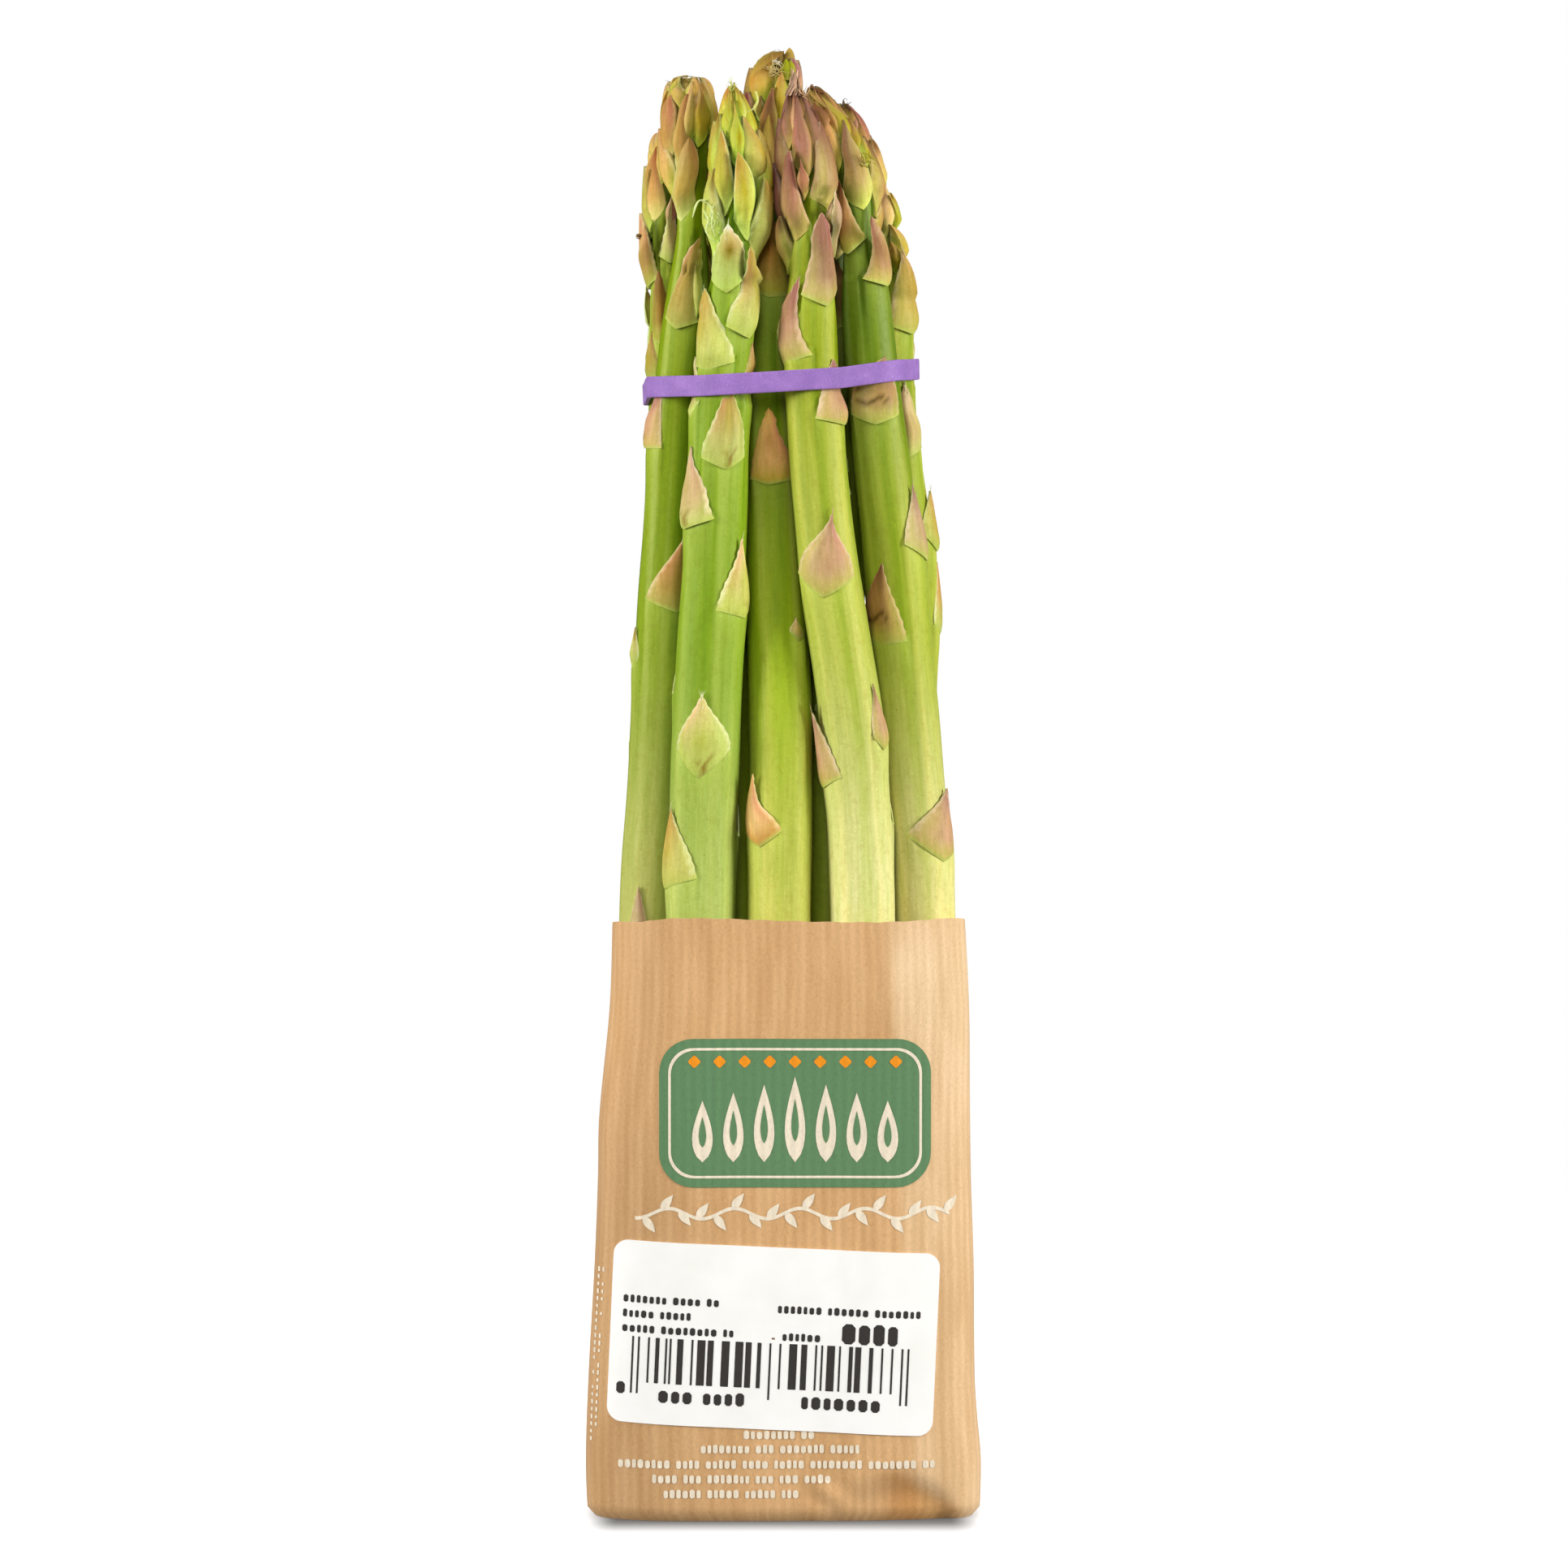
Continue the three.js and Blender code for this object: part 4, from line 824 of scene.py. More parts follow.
def blemished(colours, mark, s, t, rng):
    """A scale's mark: spot (olive in an orange ring), eye (olive), crest (rust, with a dark rim), heel
    (a brown fork) or crack (dark and branching)."""
    if mark == "spot":
        ring, core = hump(t, 0.66, 0.16, s, 0, 0.75), hump(t, 0.6, 0.09, s, 0, 0.28)
        colours = mix(mix(colours, (0.62, 0.40, 0.10), 0.85 * ring), (0.24, 0.17, 0.0), core)
        return mix(colours, (0.95, 0.9, 0.75), smooth(0.84, 0.96, t))
    if mark == "eye":
        return mix(colours, (0.36, 0.32, 0.0), 0.75 * hump(t, 0.34, 0.12, s, 0, 0.3))
    if mark == "crest":
        dark_rim = smooth(0.66, 0.86, -s) * smooth(0.3, 0.5, t)
        colours = mix(colours, (0.44, 0.22, 0.01), 0.8 * hump(t, 0.55, 0.14, s, 0, 0.35))
        return mix(colours, (0.40, 0.22, 0.10), dark_rim)
    if mark == "heel":
        lean = rng.uniform(-0.15, 0.15)
        stalk = hump(t, 0.06, 0.05, s, lean, 0.09)
        arms = hump(t - 0.13 - 0.25 * np.abs(s - lean), 0, 0.03, s, lean, 0.26)
        return mix(colours, BLEMISH, 0.85 * np.clip(stalk + arms, 0, 1))
    if mark == "crack":
        branch = t - 0.33 - 0.06 * np.sin(s * 7 + 1) - 0.03 * np.sin(s * 19)
        fork = t - 0.24 - 0.10 * np.abs(s + 0.45)
        cracks = hump(branch, 0, 0.02) * smooth(0.5, 0.2, s) + 0.8 * hump(fork, 0, 0.018) * smooth(0, -0.2, s)
        return mix(colours, CRACK, 0.9 * np.clip(cracks, 0, 1))
    return colours


def add_scale(shell, spear, blade, rng):
    """A pointed scale that hugs the stem, with a lip that stands off over a swollen heel."""
    t, s, angle, z = blade_places(spear, blade, scale_radius)
    side = np.abs(s)
    ragged = 0.02 * np.sin(t * 45 + rng.uniform(0, 6)) * smooth(0.8, 1, side) * smooth(0, 0.1, t)
    angle = angle + np.sign(s) * ragged
    radius = scale_radius(spear, blade, side, t, z)
    outer = keep_clear(spear, place(spear, angle, z, radius))
    thick = 0.2 + 0.3 * (1 - side ** 2) * (1 - 0.5 * t) + 0.6 * smooth(0.08, 0, t)
    inner = keep_clear(spear, place(spear, angle, z, radius - thick))
    colours = scale_colour(blade["tone"], s, t, rng)
    colours = mix(colours, HEEL_LINE, 0.8 * smooth(0.06, 0.0, t))
    colours = blemished(colours, blade["mark"], s, t, rng)
    # Painted shade where the scale nears a neighbouring spear.
    colours = colours * (1 - 0.3 * SHADE * nearness(spear, outer))[..., None]
    grains = blade_grains(angle, radius, z, rng)
    add_blade(shell, outer, inner, colours, grains, mix(HEEL_LINE, TONES[blade["tone"]]["edge"], 0.4))
    # A scale whose point lifts shows its underside, darkened as painted shade.
    if blade["lift"] > 0.7:
        shell.add_grid(inner, colours * 0.8, grains, flipped=True)
    for _ in range(blade["frayed"] * 2):
        row = int(rng.integers(-6, -1))
        start = outer[row, int(rng.integers(3, 14))]
        heading = (outer[-1, 8] - outer[-7, 8]) + rng.normal(0, 0.4, 3)
        add_fibre(shell, start, heading, rng.uniform(1.0, 2.4), rng, 0.08, TONES[blade["tone"]]["edge"])


def add_bract(shell, spear, blade, rng):
    """A plump scale of the bud: its heel sits deep, its sides are tucked in and its point lies on top."""
    t, s, angle, z = blade_places(spear, blade, bract_radius)
    side = np.abs(s)
    radius = bract_radius(spear, blade, side, t, z) + rng.uniform(-0.1, 0.12)
    outer = keep_clear(spear, place(spear, angle, z, radius))
    inner = keep_clear(spear, place(spear, angle, z, np.maximum(radius - 0.7, 0.1)))
    colours = scale_colour(blade["tone"], s, t, rng)
    bare = blade["lip"] > 1
    # Painted shade at a covered heel and on the tucked sides, painted light that brightens the heel most and
    # fades towards the point, and painted shade near neighbouring spears.
    shadow = 0.3 * (not bare) * smooth(0.25, 0.0, t) + 0.15 * smooth(0.55, 0.95, side) * smooth(0.8, 0.3, t)
    lit = np.interp(t, [0, 0.25, 0.6, 1], [1.5, 1.38, 1.1, 0.9]) - shadow
    colours = colours * (lit * (1 - 0.25 * SHADE * nearness(spear, outer)))[..., None]
    add_blade(shell, outer, inner, colours, blade_grains(angle, radius, z, rng), rim(colours))


def add_round(shell, path, size, colour, lift, sides=6):
    """A round stalk of radius size along a path. lift gives how far its rings wave up and down."""
    turns = np.linspace(0, 2 * np.pi, sides + 1)[:-1][None, :]
    ring = np.stack([size * np.cos(turns), size * np.sin(turns), lift(size, turns)], axis=-1)
    shell.add_grid(path[:, None, :] + ring, colour, path[:, None, :] + ring, closed=True)


def add_fibre(shell, start, heading, length, rng, thick, colour, curl=0.6):
    """A thin dry thread that starts along heading and bends through curl radians or so."""
    along = unit(np.asarray(heading, float))
    side = unit(np.cross(along, rng.normal(0, 1, 3)))
    bend = curl * rng.uniform(0.5, 1.4)
    t = np.linspace(0, 1, 10)[:, None]
    path = start + length * (along * np.sin(bend * t) + side * (1 - np.cos(bend * t))) / bend
    across = np.cross(along, side)
    turns = np.radians([0, 120, 240])[None, :, None]
    ring = side * np.cos(turns) + across * np.sin(turns)
    points = path[:, None, :] + ring * thick * (1 - 0.8 * t[:, None, :])
    shell.add_grid(points, np.asarray(colour), points * 0.3, closed=True)


def add_hook(shell, spear, ahead, thick, colour, places):
    """A thread along given places, that thins to its end."""
    run = np.linspace(0, 1, len(places))
    t = np.linspace(0, 1, 22)
    x = follow(list(zip(run, [x for x, _ in places])), t)
    z = follow(list(zip(run, [z for _, z in places])), t)
    _, ay = axis_at(spear, z)
    size = thick * np.interp(t, [0, 0.6, 1], [1, 0.9, 0.3])[:, None]
    path = np.stack([x, ay - ahead, z], axis=-1)
    add_round(shell, path, size, np.asarray(colour), lambda size, turns: 0.5 * size * np.sin(2 * turns))


def add_twist(shell, rng, foot, top, radius, count, colour):
    """A tuft of narrow dry bracts wound round each other."""
    t = np.linspace(0, 1, 26)[:, None]
    for k in range(count):
        phase = 2 * np.pi * k / count + rng.uniform(-0.6, 0.6)
        spread = np.interp(t, [0, 0.3, 0.55, 0.85, 1], [1.2, 0.9, 0.5, 0.8, 1.1])
        far = radius * rng.uniform(0.3, 1.1) * spread
        wind = phase + rng.uniform(0.2, 1.8) * t
        ends = rng.uniform(0.45, 1.1)
        path = np.array(foot) + (np.array(top) - foot) * t * ends
        path = path + np.concatenate([far * np.cos(wind), far * np.sin(wind), 0 * t], axis=1)
        thick = 0.19 * rng.uniform(0.6, 1.4) * np.interp(t, [0, 0.2, 0.8, 1], [0.6, 1, 0.7, 0.1])
        shade = np.array(colour) * rng.choice([0.5, 0.85, 1.2])
        add_round(shell, path, thick, shade, lambda size, turns: 0.3 * size * np.sin(turns))


def add_pod(shell, foot, top, width, colour):
    """A small blunt bud that stands among the dry bracts at a tip."""
    t = np.linspace(0, 1, 9)[:, None]
    girth = width / 2 * np.interp(t, [0, 0.35, 0.7, 0.9, 1], [0.8, 1, 0.75, 0.4, 0.02])
    path = np.array(foot) + (np.array(top, float) - foot) * t
    shade = np.array(colour) * (0.6 + 0.4 * t[:, None, :])
    add_round(shell, path, girth, shade, lambda size, turns: 0.05 * size * np.cos(3 * turns), sides=12)


FILLING = 26  # scales by the golden angle round a bud
CROWN = 5  # short scales round its point
SEEN_TO = 78  # the azimuth up to which its given scales cover it
OPEN_TOP = 12  # the length of its point that is filled all round


def filling_bracts(spear, given, rng):
    """Bracts by the golden angle over the rest of the bud: the back and sides, and all round the point."""
    bracts = []
    for k in range(FILLING):
        share = k / (FILLING - 1)
        heel = spear["tip"] - HEAD_LENGTH * (1.0 - 0.8 * share ** 0.66)
        azimuth = (spear["turn"] + GOLDEN_ANGLE * k + rng.normal(0, 4) + 180) % 360 - 180
        length = min((15.5 - 7.5 * share) * rng.uniform(0.93, 1.07), spear["tip"] - heel)
        radius = float(cover_radius(spear, heel + 0.3 * length))
        half = math.degrees((3.1 - 1.4 * share) * spear["girth"] / 5.5 / radius)
        in_sight = abs(azimuth) < spear.get("seen_to", SEEN_TO)
        if given and in_sight and heel < spear["tip"] - spear.get("open_top", OPEN_TOP):
            continue
        corner, tip = heel + 0.34 * length, azimuth + rng.normal(0, 5)
        left, right = (azimuth - half, corner), (azimuth + half, corner)
        bracts.append(leaf(spear["tone"], left, (azimuth, heel), right, (tip, heel + length),
                           bow=(0.4, 0.4), waist=0.4, seen=False))
    for k in range(spear.get("crown", CROWN)):
        azimuth = spear["turn"] + 72 * k
        heel = spear["tip"] - 5.4
        left, right = (azimuth - 48, heel + 1.2), (azimuth + 48, heel + 1.2)
        bracts.append(leaf(spear["tone"], left, (azimuth, heel), right, (azimuth, heel + 5.4), seen=False))
    return bracts


def stem_scales(spear):
    """The given scales, or a golden-angle spiral whose steps lengthen downwards."""
    if "scales" in spear:
        return spear["scales"]
    neck = spear["tip"] - HEAD_LENGTH
    steps = range(SPIRAL_SCALES)
    return [back_leaf(spear["spiral"] + GOLDEN_ANGLE * k, neck - 2 - 7 * k - k * k) for k in steps]


# ---------------------------------------------------------------- the stem
def heel_field(spear, scales, azimuth, z):
    """How far below a heel each point lies, in mm, and how near it is to the middle of the strip there."""
    below = np.full(z.shape, 999.0)
    inside = np.zeros(z.shape)
    for blade in scales:
        corners = [(blade["left"][0], 1), (blade["heel"], 0), (blade["right"][0], 1)]
        left, heel, right = (azimuth_of(spear, blade, at, side, 0, scale_radius) for at, side in corners)
        turn = (azimuth - heel + np.pi) % (2 * np.pi) - np.pi
        base = np.interp(turn, [left - heel, 0, right - heel], [at[1] for at, _ in corners])
        middle, half = (left + right) / 2 - heel, (right - left) / 2
        off = np.abs((turn - middle) / half)
        depth = base - z
        nearer = (off < 1.15) & (depth > -1.2) & (depth < below)
        below = np.where(nearer, depth, below)
        inside = np.where(nearer, 1 - smooth(0.9, 1.12, off), inside)
    return below, inside


def stem_colour(spear, azimuth, z, below, inside):
    """The skin's colour: paler waxy strips below the heels, darker streaks between them, and painted shade on
    the core inside the bud.
    """
    low, middle, high = spear["flesh"]
    neck = spear["tip"] - HEAD_LENGTH
    shade = mix(low, middle, smooth(100, 160, z))
    shade = mix(shade, high, smooth(160, neck, z))
    seed = spear["girth"] * 7 + spear["tip"]
    bands = np.sin(4 * azimuth + seed + 0.010 * z) + 0.8 * np.sin(7 * azimuth + 2.3 * seed - 0.013 * z)
    bands = bands + 0.7 * np.sin(11 * azimuth + 1.7 * seed + 0.02 * z)
    streaky = 0.3 + 0.5 * smooth(115, 185, z)
    shade = mix(shade, shade * [1.5, 1.3, 1.0] + [0.0, 0.0, 0.05], streaky * smooth(0.2, 1.6, bands))
    shade = mix(shade, shade * [0.62, 0.76, 0.2], streaky * smooth(0.3, 1.8, -bands))
    wax = inside * np.exp(-np.clip(below, 0, 90) / 9)
    shade = mix(shade, (0.50, 0.62, 0.10), 0.3 * wax)
    shade = mix(shade, shade * [1.15, 1.1, 1.2], inside * np.exp(-np.clip(below, 0, 200) / 45))
    # Painted shade on the bud's core, under its scales.
    bud = smooth(neck + 10, neck + 17, z)
    shade = mix(shade, shade * [0.45, 0.5, 0.2], bud)
    return mix(shade, TONES[spear["tone"]]["middle"], smooth(spear["tip"] - 4, spear["tip"] - 2, z))


def add_stem(shell, spear, scales):
    """The stem and the bud's core, from the cut end to the tip, swollen under each heel."""
    neck = spear["tip"] - HEAD_LENGTH
    hidden, bare = np.linspace(FOOT_Z, 95, 12), np.arange(96, neck, 0.7)
    z = np.concatenate([hidden, bare, np.linspace(neck, spear["tip"] - 0.4, 32)])
    turn = np.linspace(0, 2 * np.pi, STEM_SIDES + 1)[:-1]
    rows, columns = np.meshgrid(z, turn, indexing="ij")
    seed = spear["girth"] * 5 + spear["tip"]
    lobes = 0.012 * np.sin(3 * columns + seed) + 0.008 * np.sin(5 * columns + 2 * seed + 0.02 * rows)
    radius = core_radius(spear, rows) * (1 + lobes)
    radius = radius + 0.07 * np.sin(rows * 0.11 + seed) + 0.05 * np.sin(rows * 0.27 + 2 * seed)
    below, inside = heel_field(spear, scales, columns, rows)
    fade = np.where(below > 0, hump(below, 0, 5.0), hump(below, 0, 0.8))
    swell = inside * (CUSHION * fade + RIDGE * np.exp(-np.clip(below, 0, 200) / 30))
    ax, _ = axis_at(spear, rows)
    radius = radius + np.minimum(swell, under_band(ax, rows))
    points = keep_clear(spear, place(spear, columns, rows, radius))
    behind_paper = front_y(points[..., 0], points[..., 2]) + 0.6
    points[..., 1] = np.where(rows < 60, np.maximum(points[..., 1], behind_paper), points[..., 1])
    colours = stem_colour(spear, columns, rows, below, inside)
    # Painted shade where the stem nears a neighbouring spear.
    colours = colours * (1 - SHADE * nearness(spear, points))[..., None]
    grains = np.stack([radius * np.cos(columns), radius * np.sin(columns) + seed * 9, rows * 0.08], axis=-1)
    shell.add_grid(points, colours, grains, closed=True)
    cut = np.linspace(0.02, 1, 4)[:, None, None]
    middle = points[0].mean(axis=0)
    disc = middle + (points[0][None] - middle) * cut
    shell.add_grid(disc, CUT_FLESH, disc * 0.5, closed=True, flipped=True)


def make_spear(spear, number):
    """One spear with its scales, bud, threads and tip, in place of its CAD solid."""
    rng = np.random.default_rng(100 + number)
    shell = Shell()
    scales = stem_scales(spear)
    given = spear.get("bracts", [])
    add_stem(shell, spear, scales + [bract for bract in given if bract["lip"] > 1])
    for scale in scales:
        add_scale(shell, spear, scale, rng)
    for bract in [*given, *filling_bracts(spear, given, rng)]:
        add_bract(shell, spear, bract, rng)
    shell.shade_crevices(spear)
    for x, z, ahead, heading, length, count, strewn, colour, thick, curl in CURLS.get(spear["name"], []):
        _, ay = axis_at(spear, z)
        for _ in range(count):
            start = np.array([x, ay - ahead, z]) + rng.normal(0, strewn, 3)
            bent = np.array(heading) + rng.normal(0, 0.3, 3)
            add_fibre(shell, start, bent, length * rng.uniform(0.6, 1.1), rng, thick, colour, curl)
    for hook in HOOKS.get(spear["name"], []):
        add_hook(shell, spear, *hook)
    if "twist" in spear:
        add_twist(shell, rng, **spear["twist"])
    for pod in spear.get("pods", []):
        add_pod(shell, *pod)
    return shell.build("dressed_" + spear["name"], SKIN, [spear["name"]])


# ---------------------------------------------------------------- paper sleeve
def sleeve_plan(z, outset=0.0):
    """Middle, half width and half depth of the sleeve's section at heights z."""
    left, right = follow(SLEEVE_LEFT, z), follow(SLEEVE_RIGHT, z)
    depth = np.interp(z, [0, MOUTH_Z], SLEEVE_DEPTH)
    low = np.clip(FOOT_ROUND - z, 0, FOOT_ROUND)
    tuck = 0.8 * (FOOT_ROUND - np.sqrt(FOOT_ROUND ** 2 - low ** 2))
    return (left + right) / 2, (right - left) / 2 + outset - tuck, depth + outset - tuck


# The crushed corner at the lower right: the arc over it, as x and height.
DENT = [[5, 3.0], [8, 5.6], [12, 7.4], [19, 9.0], [23, 8.8], [27, 6.6], [31.5, 2.0]]
DENT_DEPTH = 1.9
CREASE_X = 17.8  # where the long crease down the front crosses CREASE_Z
CREASE_Z = 96
CREASE_LEAN = 0.05


def dent(x, z):
    """0 outside the crushed corner and 1 where it lies deepest. It falls slowly and comes back steeply."""
    edge = np.interp(x, *np.array(DENT).T, left=-3, right=-3)
    return smooth(6, 23, x) * smooth(32.5, 27.5, x) * smooth(1.0, -5.0, z - edge)


def crease_line(x, z):
    """How far a place lies to the right of the long crease down the front."""
    return x - CREASE_X + CREASE_LEAN * (z - CREASE_Z)


def front_relief(x, z):
    """How far the front paper lies behind its plain section: soft waves, creases and a crushed corner."""
    waves = 0.28 * np.sin(x * 0.17 + 0.9 + 0.012 * z) + 0.16 * np.sin(x * 0.33 - 0.6 - 0.02 * z)
    waves = waves + 0.18 * np.sin(z * 0.075 + x * 0.05 + 2.0)
    fold = crease_line(x, z)
    crease = 1.9 * np.clip(fold, 0, 14) / 14 * (0.35 + 0.65 * smooth(40, 90, z))
    crease = crease - 0.35 * hump(fold, 0, 0.9) * smooth(84, 90, z)
    pinch = -0.22 * hump(x, 11.5, 0.8) * smooth(36, 44, z) * smooth(60, 52, z)
    crumple = 0.5 * np.sin(x * 0.8 + z * 0.9) * hump(x, 8, 4, z, 4.5, 2.5)
    return waves + crease + pinch + DENT_DEPTH * dent(x, z) + crumple


def front_y(x, z, outset=0.0):
    """Depth of the sleeve's front at a place seen from the front."""
    middle, half, depth = sleeve_plan(z, outset)
    share = np.clip(np.abs((x - middle) / half), 0, 0.999)
    flat = (1 - share ** SQUARENESS) ** (1 / SQUARENESS)
    return -depth * flat + front_relief(x, z) * smooth(0.55, 0.95, flat)


def on_front(x, z, lift):
    """Points a little off the sleeve's front, along its own normal."""
    step = 0.05
    slope_x = (front_y(x + step, z) - front_y(x - step, z)) / (2 * step)
    slope_z = (front_y(x, z + step) - front_y(x, z - step)) / (2 * step)
    size = np.sqrt(1 + slope_x ** 2 + slope_z ** 2)
    y = front_y(x, z)
    return np.stack([x + lift * slope_x / size, y - lift / size, z + lift * slope_z / size], axis=-1)


def mouth_height(azimuth):
    """The cut edge waves a little along the front and is lower behind."""
    x = sleeve_plan(MOUTH_Z)[2] * np.tan(np.clip(azimuth, -1.03, 1.03))
    front = follow(MOUTH_LINE, x) + 0.05 * np.sin(x * 1.1)
    return MOUTH_Z + front - 1.6 * smooth(0.45, -0.1, np.cos(azimuth))


def sleeve_walls(azimuth, z, outset):
    """Points of the sleeve by the direction they lie in and their height."""
    middle, half, depth = sleeve_plan(z, outset)
    sine, cosine = np.sin(azimuth), -np.cos(azimuth)
    far = (np.abs(sine / half) ** SQUARENESS + np.abs(cosine / depth) ** SQUARENESS) ** (-1 / SQUARENESS)
    x, y = middle + far * sine, far * cosine
    facing = smooth(0.55, 0.95, np.abs(y) / depth)
    front = front_relief(x, z)
    back = 0.3 * np.sin(x * 0.2 + 0.4) + 0.2 * np.sin(z * 0.06 + x * 0.1)
    back = back - 0.4 * smooth(6.3, 5.9, np.abs(x)) + 0.05 * np.sin(z * 0.4) * smooth(7, 5, np.abs(x))
    valley = 1.1 * hump(y, 0, 5.0) * (1 - facing)
    return np.stack([x - np.sign(sine) * valley, y + facing * np.where(y < 0, front, -back), z], axis=-1)


def even_turns(count):
    """Directions whose points on the sleeve lie evenly apart, starting from the middle of the back."""
    turn = np.linspace(-np.pi, np.pi, 6001)
    points = sleeve_walls(turn, np.full_like(turn, 60.0), 0.0)
    steps = np.linalg.norm(np.diff(points, axis=0), axis=1)
    run = np.concatenate([[0], np.cumsum(steps)])
    return np.interp(np.linspace(0, run[-1], count + 1)[:-1], run, turn)


SLEEVE_SIDES = 360
SLEEVE_ROWS = 120
FLOOR_ROW = 45  # where the inner wall, hidden by the stems below, starts


def make_sleeve():
    """The open paper bag: its two walls, cut edge and base, crushed in places, with painted light right of
    the long crease and painted shade on the lower left and in the crushed corner.
    """
    shell = Shell()
    turn = even_turns(SLEEVE_SIDES)
    share = np.linspace(0, 1, SLEEVE_ROWS) ** 0.9
    heights, turns = np.meshgrid(share, turn, indexing="ij")
    z = 0.05 + heights * (mouth_height(turns) - 0.05)
    outer = sleeve_walls(turns, z, 0.0)
    inner = sleeve_walls(turns, z, -SHEET)
    belt = outer[SLEEVE_ROWS // 2, :, :2]
    run = np.cumsum(np.linalg.norm(np.diff(belt, axis=0, append=belt[:1]), axis=1))
    grains = np.stack(np.broadcast_arrays((run - run[SLEEVE_SIDES // 2])[None, :], z * 0.0, z), axis=-1)
    paper = np.array(PAPER)
    x, ahead = outer[..., 0], outer[..., 1] < 0
    # Painted shade in the crushed corner, under its diagonal fold, tinted warm.
    diagonal = np.interp(x, [19, 31.5], [10.2, 2.2])
    corner_shade = smooth(14, 23, x) * smooth(32, 30, x) * smooth(0.6, -2.6, z - diagonal) * ahead
    # Painted light: the paper right of the long crease is made paler, as if it caught the right softbox, by a
    # set amount at each height.
    light_by_height = np.interp(z, [0, 40, 75, 97, 105], [0.5, 0.35, 0.7, 0.9, 0.6])
    lit_past_crease = smooth(-0.4, 2.4, crease_line(x, z)) * ahead * light_by_height
    # Painted shade: the front is darker towards its lower left.
    left_shade = smooth(-6, -24, x) * smooth(85, 50, z) * ahead
    painted = paper * (1 + lit_past_crease[..., None] * [0.28, 0.55, 1.0]) * (1 - left_shade[..., None] * [0.14, 0.15, 0.16])
    shell.add_grid(outer, painted * (1 - corner_shade[..., None] * [0.14, 0.30, 0.52]), grains, closed=True)
    shell.add_grid(inner[FLOOR_ROW:], paper * 0.9, grains[FLOOR_ROW:], closed=True, flipped=True)
    shell.add_grid(np.stack([outer[-1], inner[-1]]), CUT_PAPER, np.stack([grains[-1]] * 2), closed=True)
    rings = np.linspace(0.02, 1, 10)[:, None, None]
    centre = np.array([0, 0, 0.3])
    base = centre + (outer[0][None] - centre) * rings
    shell.add_grid(base, paper, base, closed=True, flipped=True)
    return shell.build("kraft_sleeve", KRAFT, ["paper_sleeve"])


# ---------------------------------------------------------------- label and print
def rounded(width, height, corner, steps=6):
    """Outline of a rectangle with round corners, walked from the right, as rows of x and z."""
    outline = []
    for quarter, (sx, sz) in enumerate(((1, 1), (-1, 1), (-1, -1), (1, -1))):
        angles = np.linspace(0, np.pi / 2, steps) + quarter * np.pi / 2
        cx, cz = sx * (width / 2 - corner), sz * (height / 2 - corner)
        outline.extend(zip(cx + corner * np.cos(angles), cz + corner * np.sin(angles)))
    return np.array(outline)


def refined(outline, longest=1.2):
    """The closed outline with its long sides cut into short ones."""
    points = []
    for a, b in zip(outline, np.roll(outline, -1, axis=0)):
        pieces = max(1, int(np.ceil(np.linalg.norm(b - a) / longest)))
        points.extend(a + (b - a) * k / pieces for k in range(pieces))
    return np.array(points)


def turned(points, degrees):
    """Rows of x and z, turned about the origin."""
    c, s = math.cos(math.radians(degrees)), math.sin(math.radians(degrees))
    return points @ np.array([[c, s], [-s, c]])


def paper_grain(x, z):
    return np.stack([x, x * 0, z], axis=-1)


def stamp(shell, outline, at, lift, colour, rings=2, inner=None):
    """A flat mark on the sleeve's front: a filled outline, or the ring between two outlines."""
    outer = refined(outline)
    start = np.zeros_like(outer) + outer.mean(axis=0) if inner is None else inner
    share = np.linspace(0.001, 1, rings)[:, None, None]
    x, z = np.moveaxis(start + (outer - start) * share + np.asarray(at), -1, 0)
    shell.add_grid(on_front(x, z, lift), colour, paper_grain(x, z), closed=True, flipped=True)


def leaf_outline(length, width, blunt=1.0):
    """A pointed upright leaf or spear-head, from its foot at the origin."""
    t = np.linspace(0, 1, 12)
    half = width / 2 * np.sin(np.pi * t ** 0.7) ** blunt
    return np.concatenate([np.stack([half, length * t], 1), np.stack([-half, length * t], 1)[-2:0:-1]])


GREEN, CREAM, ORANGE, BLACK = (0.11, 0.22, 0.10), (0.78, 0.68, 0.52), (0.80, 0.27, 0.01), (0.035, 0.03, 0.028)
PANEL = dict(x=2.0, z=71.8, width=47.5, height=26.0, corner=6.0, line=0.5, inset=1.6)
# The leaves on the panel, from its middle outwards, and the lozenges over them.
LEAVES = dict(each_way=3, pitch=5.4, foot=8.6, height=15.0, width=3.6, shorter=1.4)
LOZENGES = dict(each_way=4, pitch=4.4, rise=9.0, size=1.7, corner=0.3)
TWIG = dict(left=-26, right=29, z=54.2, height=0.9, wave=0.55, thick=0.32, pitch=3.1)
SIDE_PRINT = dict(columns=(1.3, 2.1), low=14, high=44, pitch=1.3)  # small blocks up the left edge
BLOCK = ((0.85, 1.55), 0.3)  # a printed block's width and height, and the gap after it
# How far ink lies off the paper: the panel, what is on it, what is on that, and the rest.
PANEL_INK, LEAF_INK, VEIN_INK, TWIG_INK, BLOCK_INK = 0.12, 0.16, 0.2, 0.07, 0.09
# Rows of blocks under the label: height, left and right.
PRINT_ROWS = [(15.4, -7, 5.5), (12.9, -14.5, 14), (10.2, -29, 27), (7.6, -23, 9), (5.0, -21, 3)]
